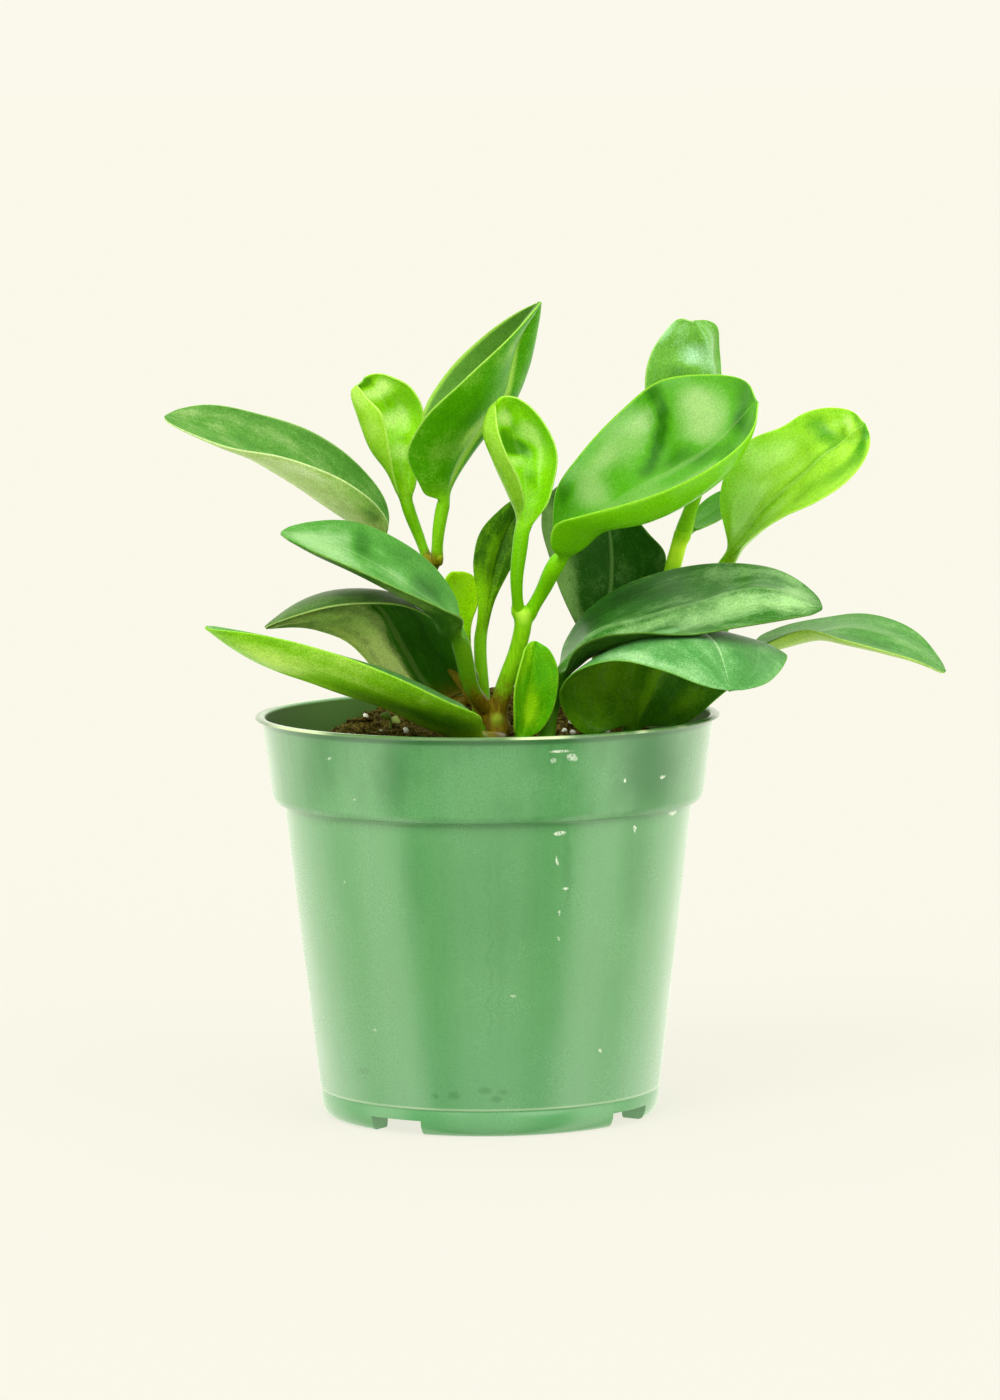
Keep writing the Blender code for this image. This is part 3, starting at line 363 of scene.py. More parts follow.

# Each leaf's finish: its material slot; the main and the paler colour of its upper face and of its
# under face, the paler one for its pale streaks and for its painted highlights and sheen, and the colour
# of its petiole (0 to 255); its roughness and how much its wax coat shines; and how clearly its streaks,
# midrib and margin show. Where it isn't as in PLAIN_SKIN, also how much light glows in it, how mottled
# and how marked it is, how wide its midrib is, and the factors of its darkest areas, where its painted
# shade lies. veins says how clearly its fine lines show, where that doesn't follow from its streaks.
SKINS = {
    "leaf_upper_left": dict(
        slot="leaf_mature", upper=(84, 144, 52), upper_pale=(150, 182, 112),
        lower=(165, 200, 100), lower_pale=(215, 232, 175), stalk=(120, 180, 40),
        rough=0.38, streaks=0.9, rib=0.3, edge=0.5,
    ),
    "leaf_middle_left": dict(
        slot="leaf_mature", upper=(84, 152, 62), upper_pale=(150, 196, 130),
        lower=(60, 110, 20), lower_pale=(150, 185, 90), stalk=(88, 140, 10),
        rough=0.4, streaks=0.5, rib=0.15, edge=0.3,
    ),
    "leaf_arched_left": dict(
        slot="leaf_mature", upper=(74, 112, 46), upper_pale=(140, 175, 110),
        lower=(52, 118, 4), lower_pale=(225, 250, 150), stalk=(60, 80, 6),
        rough=0.42, streaks=0.8, rib=0.1, edge=0.4, veins=0.2, mottle=0.6, glow=0.5,
    ),
    "leaf_low_left": dict(
        slot="leaf_mature", upper=(104, 165, 84), upper_pale=(160, 200, 140),
        lower=(124, 192, 16), lower_pale=(195, 235, 100), stalk=(80, 90, 12),
        rough=0.36, streaks=0.5, rib=0.1, edge=0.2,
    ),
    "leaf_young_left": dict(
        slot="leaf_young", upper=(150, 218, 22), upper_pale=(210, 242, 135),
        lower=(150, 208, 44), lower_pale=(190, 230, 110), stalk=(112, 184, 8),
        rough=0.28, coat=0.08, streaks=0.2, rib=0.1, edge=0.5, mottle=0.5,
    ),
    "leaf_tall": dict(
        slot="leaf_young", upper=(88, 142, 46), upper_pale=(116, 166, 74),
        lower=(80, 162, 1), lower_pale=(175, 220, 90), stalk=(118, 186, 10),
        rough=0.36, streaks=0.25, rib=0.85, rib_wide=1.8, edge=0.6,
    ),
    "leaf_young_centre": dict(
        slot="leaf_young", upper=(138, 212, 14), upper_pale=(205, 240, 130),
        lower=(140, 198, 42), lower_pale=(190, 230, 110), stalk=(112, 188, 6),
        rough=0.26, coat=0.08, streaks=0.2, rib=0.1, edge=0.5, mottle=0.5,
    ),
    "leaf_behind_centre": dict(
        slot="leaf_mature", upper=(54, 104, 4), upper_pale=(110, 150, 50),
        lower=(50, 100, 2), lower_pale=(140, 206, 8), stalk=(120, 190, 6),
        rough=0.42, streaks=0.5, rib=0.3, edge=0.2,
    ),
    "leaf_small_back": dict(
        slot="leaf_young", upper=(180, 240, 6), upper_pale=(180, 225, 80),
        lower=(180, 240, 6), lower_pale=(180, 225, 80), stalk=(150, 215, 8),
        rough=0.4, streaks=0.2, rib=0.2, edge=0.2,
    ),
    "leaf_large_right": dict(
        slot="leaf_glossy", upper=(78, 158, 20), upper_pale=(146, 188, 108),
        lower=(116, 200, 6), lower_pale=(150, 212, 50), stalk=(124, 204, 8),
        rough=0.24, coat=0.12, streaks=0.15, rib=0.25, edge=0.7, mottle=0.4,
    ),
    "leaf_top_right": dict(
        slot="leaf_mature", upper=(104, 168, 56), upper_pale=(165, 212, 160),
        lower=(130, 188, 70), lower_pale=(175, 215, 120), stalk=(124, 192, 12),
        rough=0.34, streaks=0.5, rib=0.3, edge=0.5,
    ),
    "leaf_small_right": dict(
        slot="leaf_mature", upper=(96, 168, 60), upper_pale=(165, 214, 130),
        lower=(130, 184, 90), lower_pale=(170, 210, 120), stalk=(110, 170, 30),
        rough=0.4, streaks=0.4, rib=0.2, edge=0.5,
    ),
    "leaf_bright_right": dict(
        slot="leaf_young", upper=(156, 212, 50), upper_pale=(196, 236, 124),
        lower=(170, 230, 66), lower_pale=(200, 240, 110), stalk=(140, 200, 20),
        rough=0.28, coat=0.08, streaks=0.25, rib=0.25, edge=0.4, mottle=0.5, glow=0.6,
        deep=(0.2, 0.48, 0.04),
    ),
    "leaf_dark_centre": dict(
        slot="leaf_mature", upper=(28, 84, 3), upper_pale=(125, 165, 90),
        lower=(90, 127, 50), lower_pale=(130, 160, 90), stalk=(80, 120, 16),
        rough=0.45, streaks=0.5, rib=0.5, edge=0.3,
    ),
    "leaf_broad_right": dict(
        slot="leaf_mature", upper=(50, 112, 30), upper_pale=(158, 203, 132),
        lower=(44, 84, 8), lower_pale=(110, 150, 60), stalk=(70, 126, 14),
        rough=0.4, streaks=0.7, rib=0.25, edge=0.35, marks=0.3,
    ),
    "leaf_nodding_right": dict(
        slot="leaf_mature", upper=(84, 150, 76), upper_pale=(165, 212, 150),
        lower=(48, 112, 2), lower_pale=(110, 170, 14), stalk=(60, 112, 8),
        rough=0.4, streaks=0.6, rib=0.75, edge=0.5, marks=0.35,
    ),
    "leaf_far_right": dict(
        slot="leaf_mature", upper=(86, 144, 68), upper_pale=(150, 190, 125),
        lower=(150, 195, 40), lower_pale=(180, 210, 110), stalk=(110, 160, 30),
        rough=0.38, streaks=0.7, rib=0.2, edge=0.5, marks=0.4,
    ),
    "leaf_small_front": dict(
        slot="leaf_young", upper=(82, 168, 2), upper_pale=(150, 212, 14),
        lower=(120, 186, 12), lower_pale=(160, 210, 60), stalk=(110, 176, 10),
        rough=0.34, streaks=0.3, rib=0.15, edge=0.4,
    ),
    "leaf_back_right": dict(
        slot="leaf_mature", upper=(76, 144, 54), upper_pale=(150, 195, 120),
        lower=(118, 165, 60), lower_pale=(160, 195, 100), stalk=(100, 160, 24),
        rough=0.4, streaks=0.5, rib=0.25, edge=0.4,
    ),
    "leaf_back_left": dict(
        slot="leaf_mature", upper=(64, 124, 42), upper_pale=(120, 170, 95),
        lower=(50, 95, 10), lower_pale=(84, 124, 30), stalk=(60, 100, 10),
        rough=0.4, streaks=0.5, rib=0.25, edge=0.4,
    ),
}

# What a leaf's finish is where SKINS doesn't say otherwise
PLAIN_SKIN = dict(coat=0.0, glow=0.25, mottle=1.0, marks=0.1, rib_wide=1.0, deep=(0.3, 0.46, 0.3))
VEINS_PER_STREAK = 0.25
NECK_SHARE = 0.16

# Necks that aren't like the others: radius of the petiole where it widens into the blade, and the share
# of the blade that this takes up; and tips that are blunter than the others, with their radius
WIDE_NECKS = {
    "leaf_young_left": (1.5, 0.16), "leaf_young_centre": (1.8, 0.3), "leaf_bright_right": (1.7, 0.22),
    "leaf_middle_left": (2.1, 0.2), "leaf_large_right": (2.0, 0.1), "leaf_tall": (1.6, 0.08),
    "leaf_arched_left": (1.7, 0.05),
}
BLUNT_TIPS = {
    "leaf_upper_left": 2.0, "leaf_middle_left": 2.0, "leaf_low_left": 2.4, "leaf_young_left": 2.6,
    "leaf_broad_right": 2.2, "leaf_far_right": 1.6, "leaf_small_front": 2.0, "leaf_young_centre": 1.8,
    "leaf_tall": 0.7, "leaf_large_right": 2.8,
}

# Swellings and hollows of a blade: share along, share across, half length, half width, height
DENTS = {
    "leaf_large_right": (
        (0.56, -0.6, 0.05, 0.45, -1.8), (0.42, -0.5, 0.08, 0.5, 0.8), (0.3, -0.3, 0.14, 0.35, 1.2),
        (0.74, -0.45, 0.1, 0.4, 1.5), (0.66, -0.02, 0.16, 0.12, -0.9), (0.12, 0.0, 0.08, 0.6, -0.8),
        (0.62, 0.35, 0.14, 0.25, 0.8),
    ),
    "leaf_young_left": (
        (0.62, 0.35, 0.08, 0.4, -1.1), (0.42, 0.35, 0.1, 0.35, 0.9), (0.8, 0.3, 0.07, 0.5, 0.9),
        (0.25, 0.3, 0.06, 0.3, -0.5),
    ),
    "leaf_young_centre": (
        (0.6, 0.3, 0.07, 0.4, -1.2), (0.78, 0.35, 0.07, 0.4, 0.9), (0.42, 0.35, 0.08, 0.4, 0.9),
        (0.28, 0.3, 0.06, 0.3, -0.6),
    ),
    "leaf_bright_right": (
        (0.84, -0.3, 0.05, 0.3, -1.4), (0.9, 0.25, 0.05, 0.3, -0.9), (0.72, -0.4, 0.05, 0.35, 0.9),
        (0.52, -0.55, 0.1, 0.3, -0.9), (0.4, -0.3, 0.1, 0.3, 0.7), (0.6, 0.5, 0.12, 0.3, 0.6),
        (0.93, -0.1, 0.04, 0.3, 0.8),
    ),
    "leaf_top_right": (
        (0.5, -0.3, 0.1, 0.4, 0.8), (0.7, -0.5, 0.08, 0.4, -0.7), (0.8, 0.2, 0.1, 0.4, 0.6),
    ),
    "leaf_small_front": ((0.5, 0.0, 0.3, 0.14, -1.0), (0.6, 0.6, 0.2, 0.3, 0.7)),
    "leaf_broad_right": (
        (0.5, -0.5, 0.2, 0.3, 0.7), (0.75, 0.2, 0.15, 0.4, 0.6), (0.3, -0.2, 0.12, 0.3, -0.6),
    ),
    "leaf_nodding_right": ((0.75, 0.2, 0.12, 0.3, 0.8), (0.6, -0.5, 0.12, 0.3, -0.7)),
}

# Painted highlights, sheen, reflections and shade on the blades:
# Paler and darker areas of a blade: face (0 upper, 1 under), along, across, half length, half width, amount
PAINTED_LIGHT_AND_SHADE = {
    "leaf_young_left": (
        (0, 0.99, -0.40, 0.075, 1.04, -1.6), (0, 0.87, 0.17, 0.063, 0.58, 1),
        (0, 0.63, 0.05, 0.059, 0.23, 0.9), (0, 0.60, 0.29, 0.110, 0.11, 0.6),
        (0, 0.40, 0.09, 0.064, 0.22, 0.8), (0, 0.47, 0.19, 0.043, 0.18, -0.4),
        (1, 0.60, -0.83, 0.076, 0.09, 0.4), (1, 0.82, -0.85, 0.078, 0.14, 0.6),
    ),
    "leaf_young_centre": (
        (0, 0.84, -0.04, 0.068, 0.16, 1), (0, 0.69, 0.36, 0.076, 0.25, 1),
        (0, 0.62, -0.03, 0.045, 0.17, -1.5), (0, 0.70, -0.12, 0.063, 0.10, -1.1),
        (0, 0.58, 0.09, 0.044, 0.18, -0.8), (0, 0.54, -0.06, 0.048, 0.11, 0.8),
        (0, 0.41, 0.22, 0.058, 0.24, -0.5), (0, 0.64, 0.46, 0.141, 0.09, 0.5),
        (0, 0.47, 0.43, 0.121, 0.09, 0.5),
    ),
    "leaf_large_right": (
        (0, 0.47, -0.71, 0.093, 0.27, 0.6), (0, 0.55, -0.76, 0.062, 0.10, 0.6),
        (0, 0.37, -0.72, 0.061, 0.14, 0.7), (0, 0.29, -0.45, 0.054, 0.43, 0.8),
        (0, 0.23, -0.83, 0.040, 0.11, -0.8), (0, 0.61, -0.96, 0.021, 0.07, -0.9),
        (0, 0.61, -0.86, 0.021, 0.07, -0.9), (0, 0.62, -0.75, 0.022, 0.08, -0.9),
        (0, 0.61, -0.67, 0.023, 0.08, -0.9), (0, 0.60, -0.60, 0.023, 0.09, -0.9),
        (0, 0.58, -0.52, 0.026, 0.10, -0.9), (0, 0.56, -0.46, 0.025, 0.11, -0.9),
        (0, 0.54, -0.37, 0.023, 0.10, -0.9), (0, 0.52, -0.27, 0.023, 0.10, -0.8),
        (0, 0.49, -0.17, 0.032, 0.11, -0.8), (0, 0.62, -0.11, 0.074, 0.10, -0.8),
        (0, 0.71, 0.04, 0.066, 0.10, -0.9), (0, 0.78, 0.23, 0.052, 0.15, -0.7),
        (0, 0.75, -0.36, 0.092, 0.42, 1), (0, 0.72, -0.70, 0.049, 0.18, 0.6),
        (0, 0.92, -0.56, 0.065, 0.73, -0.6), (0, 0.88, 0.06, 0.033, 0.30, -0.4),
        (0, 0.65, 0.20, 0.168, 0.06, 0.5), (0, 0.41, 0.09, 0.127, 0.06, 0.4),
        (0, 0.91, 0.25, 0.031, 0.87, -0.4),
    ),
    "leaf_bright_right": (
        (0, 0.55, -0.63, 0.095, 0.18, 0.8), (0, 0.91, -0.38, 0.030, 0.43, 0.7),
        (0, 0.91, 0.58, 0.053, 0.26, -0.8), (0, 0.83, 0.42, 0.104, 0.13, 0.5),
        (0, 0.35, 0.07, 0.060, 0.06, -0.5), (0, 0.45, 0.03, 0.056, 0.05, -0.5),
        (0, 0.56, -0.03, 0.059, 0.05, -0.5), (0, 0.66, -0.03, 0.063, 0.06, -0.5),
        (0, 0.76, -0.02, 0.059, 0.05, -0.5), (0, 0.56, -0.24, 0.097, 0.06, 0.4),
        (0, 0.35, -0.26, 0.105, 0.11, 0.8), (0, 0.27, -0.29, 0.068, 0.13, 0.6),
        (0, 0.42, 0.24, 0.130, 0.16, 0.3), (0, 0.46, -0.82, 0.047, 0.33, 0.7),
        (0, 0.32, -0.48, 0.115, 0.37, 0.8), (0, 0.28, -0.43, 0.080, 0.15, 0.9),
        (0, 0.21, -0.38, 0.067, 0.20, 1.6), (0, 0.25, 0.05, 0.038, 0.10, -0.3),
        (0, 0.76, -0.73, 0.051, 0.19, -0.7), (0, 0.78, -0.43, 0.052, 0.18, -0.9),
        (0, 0.82, -0.13, 0.045, 0.18, -0.8), (0, 0.88, -0.25, 0.027, 0.48, -0.6),
        (0, 0.96, -0.92, 0.025, 0.70, -0.5), (0, 0.86, -0.55, 0.049, 0.14, 0.6),
        (0, 0.98, 0.87, 0.037, 1.50, -0.9), (0, 0.84, 0.70, 0.071, 0.30, -0.8),
        (0, 0.71, 0.56, 0.087, 0.21, -0.6), (0, 0.56, 0.35, 0.091, 0.20, -0.4),
    ),
    "leaf_top_right": (
        (0, 0.83, -0.99, 0.085, 0.14, 0.7), (0, 0.67, -0.31, 0.066, 0.16, 0.7),
        (0, 0.85, -0.08, 0.092, 0.21, -0.5), (0, 0.55, -0.48, 0.053, 0.23, -0.4),
        (0, 0.72, 0.08, 0.192, 0.37, 0.5),
    ),
    "leaf_tall": (
        (1, 0.76, 0.61, 0.092, 0.18, 0.4), (1, 0.41, 0.12, 0.090, 0.14, 0.8),
        (1, 0.31, 0.19, 0.078, 0.10, 0.6), (1, 0.28, 0.54, 0.096, 0.26, 0.15),
        (1, 0.32, -0.12, 0.081, 0.19, -0.5),
    ),
    "leaf_upper_left": (
        (0, 0.81, 0.29, 0.049, 0.15, 0.6), (0, 0.58, 0.66, 0.051, 0.08, 0.5),
        (0, 0.93, 0.70, 0.043, 0.48, 0.4), (0, 0.33, 0.92, 0.050, 0.18, -0.3),
        (1, 0.51, -0.82, 0.108, 0.16, 0.6), (1, 0.22, -0.73, 0.041, 0.21, -0.8),
    ),
    "leaf_middle_left": (
        (0, 0.67, -0.50, 0.100, 0.38, 0.6), (0, 0.43, 0.09, 0.077, 0.23, 0.45),
        (0, 0.63, 0.37, 0.041, 0.42, -0.9), (0, 0.47, 0.65, 0.073, 0.23, -0.5),
        (0, 0.29, 0.36, 0.104, 0.46, -0.8), (0, 0.19, 0.42, 0.063, 0.22, 0.4),
        (1, 0.22, -0.69, 0.076, 0.15, -0.5), (1, 0.41, -0.84, 0.108, 0.21, 0.6),
        (0, 0.83, -0.08, 0.152, 0.53, 1.1), (0, 0.73, 0.50, 0.088, 0.30, 0.4),
    ),
    "leaf_arched_left": (
        (1, 0.55, 0.6, 0.4, 0.52, 0.95), (1, 0.25, 0.5, 0.15, 0.3, 0.3), (1, 0.35, -0.35, 0.4, 0.42, -0.7),
    ),
    "leaf_low_left": (
        (1, 0.79, -0.46, 0.104, 0.29, 0.8), (1, 0.66, -0.93, 0.102, 0.09, 0.5),
        (1, 0.60, -0.65, 0.137, 0.14, 0.5), (1, 0.41, -0.67, 0.134, 0.16, 0.3),
        (1, 0.24, -0.60, 0.130, 0.23, -1), (1, 0.45, -0.50, 0.211, 0.16, -0.7),
    ),
    "leaf_behind_centre": (
        (1, 0.56, 0.29, 0.098, 0.31, 0.5), (1, 0.22, 0.59, 0.191, 1.50, 1),
    ),
    "leaf_dark_centre": (
        (0, 0.4, -0.85, 0.4, 0.25, 1.1),
    ),
    "leaf_broad_right": (
        (0, 0.25, -0.68, 0.047, 0.52, -0.8), (0, 0.36, -0.77, 0.083, 0.21, -0.7),
        (0, 0.48, -0.56, 0.073, 0.18, -0.4), (0, 0.66, -0.82, 0.079, 0.19, 0.3),
        (0, 0.37, 0.15, 0.103, 0.11, 0.5), (0, 0.81, -0.95, 0.080, 0.18, 0.5),
        (0, 0.62, 0.42, 0.165, 0.27, 0.6), (0, 0.78, 0.23, 0.141, 0.21, 0.6),
        (0, 0.92, 0.00, 0.083, 0.86, 0.5),
    ),
    "leaf_nodding_right": (
        (0, 0.69, 0.92, 0.133, 0.11, 0.7), (1, 0.40, 0.54, 0.400, 0.51, 0.8),
        (0, 0.77, 0.79, 0.059, 0.15, -0.3), (0, 0.86, 0.81, 0.075, 0.19, 0.4),
        (0, 0.86, -0.44, 0.121, 0.28, -0.4), (0, 0.79, -0.11, 0.100, 0.15, 0.3),
        (1, 0.20, -0.01, 0.150, 0.10, 0.9), (1, 0.23, -0.74, 0.056, 0.17, 0.7),
    ),
    "leaf_far_right": (
        (0, 0.64, 0.28, 0.128, 0.25, -0.4), (1, 0.74, 0.91, 0.107, 0.11, 0.6),
    ),
    "leaf_small_front": (
        (0, 0.81, -0.63, 0.218, 0.54, 0.6), (0, 0.32, 0.12, 0.150, 0.30, 0.9),
        (0, 0.43, 0.06, 0.196, 0.19, 0.5),
    ),
}

# Plastic: tints of the pot's own colour, some for painted shade, the colours of its wear and of a painted
# highlight, and where each of them lies
DARKER_TINT = (0.45, 0.62, 0.5)
PALER_TINT = 1.18
PALER_LIFT = 0.03
FOOT_BLUE = 1.25
INSIDE_SHADE_TINT = (0.85, 0.62, 0.3)
DULL_LIP_TINT = (1.1, 0.7, 0.7)
WORN_PLASTIC = (0.78, 0.88, 0.7)
GROOVE_HIGHLIGHT_COLOUR = (0.5, 0.68, 0.42)
UPRIGHT_STREAKS = (0.4, 0.4, 0.012)
FRONT_FADE = (-8, 2)
SHADOW_FADE = (0.3, 1.25)
SCRATCH_FADE = (0.5, 1.1)
# x of the places where the lip is painted brightest, for the light coming through it
BRIGHT_LIP_PLACES = (12.0, -43.0)
LIP_STRETCH = (0.06, 0.06, 0.0)
LIP_HEIGHT = 93.0
LIP_THICKNESS = 0.55
UNDER_BAND_SHADE = dict(rise=(71.6, 72.5), fall=(73.3, 74.1))
GROOVE_HIGHLIGHT_HEIGHTS = dict(rise=(6.0, 6.3), fall=(6.5, 6.8))
UNDER_LIP_SHADOW = dict(rise=(91.0, 91.7), fall=(92.2, 92.5))
LIP_EDGE = (52.5, 53.2)
LIP_EDGE_HEIGHT = (92.2, 92.6)
SHARP_ANGLE = math.radians(38)

# Cuts in the pot's foot: depth along its radius, width, and how far they reach below and above
NOTCH_DEPTH = 13
DRAIN_DEPTH = 4
DRAIN_WIDTH = 6.8
CUT_BELOW = 3
DRAIN_BELOW = 1
DRAIN_ABOVE = 2

# Stem skin, with points in millimetres from the pot's axis and colours from 0 to 255
OLD_JOINT = (-12.0, 6.0, 128.0)
OLD_ARM = (-8.0, 3.5, 102.0)
BUD = (2.2, -4.6, 92.2)
# Place of the painted highlight on the fork's joint
FORK = (8.4, -6.2, 116.4)
STEM_STRETCH = (2.2, 2.2, 0.25)
DRY_BROWN = (128, 112, 14)
# Yellower colour of the stems' young upper parts, with painted light on them
LIT_TOP_YELLOW = (205, 246, 50)
TOP_GREEN = (124, 192, 12)
STRIPE_GREEN = (165, 222, 22)
BUD_GREEN = (150, 172, 42)
# Colour of the painted highlight on the fork's joint
FORK_HIGHLIGHT_GREEN = (185, 235, 70)
YOUNG_HEIGHTS = (104, 122)
# Heights of that yellower band with painted light
LIT_TOP_HEIGHTS = (122, 130)
GREEN_HEIGHTS = (129.5, 134)

# The gleam of stems and leaves
WAXY_TINT = (0.85, 1.0, 0.6, 1.0)

# Leaf skin: how long and how wide its streaks and its fine lines are, and how far both wander
STREAK_FLOW = (2.4, 3.6)
FINE_FLOW = (5.0, 22.0)
WANDER = 1.6
WANDER_SCALE = 0.12
STREAK_CONTRAST = 2.2
GRAIN_CONTRAST = 0.7
RIB_AT_NECK = 0.05
RIB_AT_TIP = 0.014
RIB_SINK = -1.2
PALE_RIM_AND_EDGE_LIGHT = (0.968, 0.995)
SPECK_SCALE = 0.32
SPECK_FADE = (0.05, 0.09)
LEAF_SCRATCH_WIDTH = 0.006
GRAIN_BRIGHTNESS = (0.86, 1.12)
LEAF_SHINE = 0.14
LEAF_GLOW_COLOURS = (0.8, 1.0, 0.2)
LEAF_GLOW_DEPTH = 0.0012

# Leaf shape: lengths in radii of the petiole or the tip, and shares of the petiole or the blade
SEAT_DEPTH = 1.2
SEAT_FLARE_SHARE = 0.16
TIP_LENGTH = 1.3
EDGE_THINNING = 1.5
WAVES_ALONG = 4.5
WAVES_ACROSS = 1.6
WAVES_APART = 7.3
RELIEF_FROM = 0.15
RELIEF_TO = 0.08

# Stems: rings and sides of an arm, and of the growth into the foot of a petiole with its widths and reach
ARM_MESH = (70, 28)
STUB_MESH = (14, 20)
STUB_WIDTHS = (1.3, 1.25, 1.02, 0.8)
STUB_REACH = (0.22, 0.45)
CENTRE_LINE_POINTS = 80
STEM_VOXEL = 0.0004
STEM_SMOOTHING = dict(factor=0.5, iterations=14)
JOINT_MESH = dict(segments=24, ring_count=16)

# Soil's surface, and its crumbs and perlite grains: their smallest and largest sizes, and by what share of
# its size the middle of a grain stands above the soil
SOIL_RISE_FROM = -3
SOIL_EVEN_TO = 10
SOIL_EVEN_FADE = 12
CRUMBLE_HEIGHT = 0.9
CRUMBLE_SCALE = 0.33
CRUMBLE_FRACTAL = (0.7, 2.1, 5)
SOIL_WALL_GAP = 0.15
SOIL_FLOOR_GAP = 1.4
SOIL_CENTRE = 0.012
GRAIN_WALL_GAP = 1.6
CRUMB_SIZES = (0.25, 1.0)
CRUMB_RISE = 0.25
PERLITE_SIZES = (0.35, 1.3)
PERLITE_RISE = 0.85
GRAIN_LENGTHENING = 0.5
GRAIN_FLATTENING = 0.3
GRAIN_SIZE_POWER = 2.2
FULL_TURN = 6.28
GRAIN_LUMPS = 1.3
GRAINS_APART = 3.1

# Sprout: points from where it leaves the soil, and the radius at each; its leaves are flattened tubes
SPROUT_STALK = ((0, 0, -1), (0, 0, 1), (0.2, -0.4, 2.2))
SPROUT_STALK_RADII = (0.35, 0.3, 0.3)
SPROUT_STALK_MESH = (8, 10)
SEED_LEAVES = {
    "left": ((0.2, -0.4, 2.1), (-1.0, -1.1, 3.0), (-2.2, -1.6, 3.2)),
    "right": ((0.2, -0.4, 2.1), (1.2, -1.1, 2.05), (2.2, -1.6, 1.3)),
}
SEED_LEAF_RADII = (0.3, 1.15, 0.3)
SEED_LEAF_MESH = (16, 18)
SEED_LEAF_FLATNESS = (1, 0.45, 0.9)

# Stage
FLOOR_SIZE = 30
FLOOR_SIDES = 128
FLOOR_DROP = 0.0001
KEY_LIGHT = dict(azimuth=-28, elevation=42, width=36)
FILL_LIGHT = dict(azimuth=38, elevation=32, width=44)
OVERHEAD_FROM = 0.35
OVERHEAD_TO = 0.85


class PotSettings(bpy.types.PropertyGroup):
    rim_radius: FloatProperty(
        name="Rim radius", description="From the pot's axis to the outside of the lip",
        default=(POT_HIGH.x - POT_LOW.x) / 2, min=0.01, unit="LENGTH", subtype="DISTANCE",
    )
    height: FloatProperty(
        name="Height", description="From the ground to the top of the lip",
        default=POT_HIGH.z - POT_LOW.z, min=0.01, unit="LENGTH", subtype="DISTANCE",
    )
    wall: FloatProperty(
        name="Wall", description="Thickness of the plastic",
        default=0.9 * MM, min=0.0003, unit="LENGTH", subtype="DISTANCE",
    )
    colour: FloatVectorProperty(
        name="Plastic", description="Colour of the moulded plastic",
        default=(0.09, 0.3, 0.093), min=0, max=1, subtype="COLOR",
    )
    # The lip's pale colour is painted light: the glow of light coming through the thin plastic
    lit_lip_colour: FloatVectorProperty(
        name="Lip", description="Paler colour of the thin lip, which lets light through",
        default=(0.62, 0.74, 0.4), min=0, max=1, subtype="COLOR",
    )
    roughness: FloatProperty(
        name="Roughness", description="How matt the plastic is",
        default=0.22, min=0, max=1, subtype="FACTOR",
    )


class SoilSettings(bpy.types.PropertyGroup):
    dark: FloatVectorProperty(
        name="Damp peat", description="Colour of the peat in its hollows",
        default=(0.045, 0.033, 0.003), min=0, max=1, subtype="COLOR",
    )
    light: FloatVectorProperty(
        name="Dry peat", description="Colour of the peat on its crumbs",
        default=(0.32, 0.25, 0.035), min=0, max=1, subtype="COLOR",
    )
    crumbs: IntProperty(
        name="Crumbs", description="Loose crumbs of peat on the surface", default=2000, min=0,
    )
    perlite: IntProperty(
        name="Perlite", description="White grains on the surface", default=46, min=0,
    )


class StemSettings(bpy.types.PropertyGroup):
    green: FloatVectorProperty(
        name="Green", description="Colour of the young parts of the stems",
        default=(0.17, 0.5, 0.004), min=0, max=1, subtype="COLOR",
    )
    young: FloatVectorProperty(
        name="Young green", description="Colour of the upper ends of the stems",
        default=(0.2, 0.55, 0.006), min=0, max=1, subtype="COLOR",
    )
    brown: FloatVectorProperty(
        name="Brown", description="Colour of the old parts of the stems, near the soil",
        default=(0.13, 0.085, 0.002), min=0, max=1, subtype="COLOR",
    )
    brown_height: FloatProperty(
        name="Brown below", description="Height under which the stems are brown",
        default=101 * MM, min=0, unit="LENGTH", subtype="DISTANCE",
    )


class LeafSettings(bpy.types.PropertyGroup):
    bloom: FloatVectorProperty(
        name="Bloom", description="Colour of the pale wax on old leaves",
        default=(0.32, 0.52, 0.26), min=0, max=1, subtype="COLOR",
    )
    unevenness: FloatProperty(
        name="Unevenness", description="Height of the gentle waves of a blade",
        default=0.35 * MM, min=0, unit="LENGTH", subtype="DISTANCE",
    )


class StageSettings(bpy.types.PropertyGroup):
    backdrop: FloatVectorProperty(
        name="Backdrop", description="Colour of the floor and of the light around it",
        default=(0.965, 0.947, 0.839), min=0, max=1, subtype="COLOR",
    )
    surround: FloatProperty(
        name="Surround", description="Strength of the even light from behind and above", default=1.0, min=0,
    )
    key: FloatProperty(
        name="Key light", description="Strength of the soft light from the upper left", default=1.7, min=0,
    )
    fill: FloatProperty(
        name="Fill light", description="Strength of the soft light from the right", default=1.1, min=0,
    )


class PlantSettings(bpy.types.PropertyGroup):
    pot: PointerProperty(type=PotSettings)
    soil: PointerProperty(type=SoilSettings)
    stems: PointerProperty(type=StemSettings)
    leaves: PointerProperty(type=LeafSettings)
    stage: PointerProperty(type=StageSettings)


def settings():
    return bpy.context.scene.potted_plant


def linear(colour):
    """Linear red, green and blue of a colour given from 0 to 255."""
    return tuple(c / 255 / 12.92 if c <= 10 else ((c / 255 + 0.055) / 1.055) ** 2.4 for c in colour)


def tint(colour, factors):
    return tuple(part * factor for part, factor in zip(colour, factors))


def unit(vectors):
    length = np.linalg.norm(vectors, axis=-1, keepdims=True)
    return vectors / np.maximum(length, 1e-9)


def smooth_step(value):
    value = np.clip(value, 0, 1)
    return value * value * (3 - 2 * value)


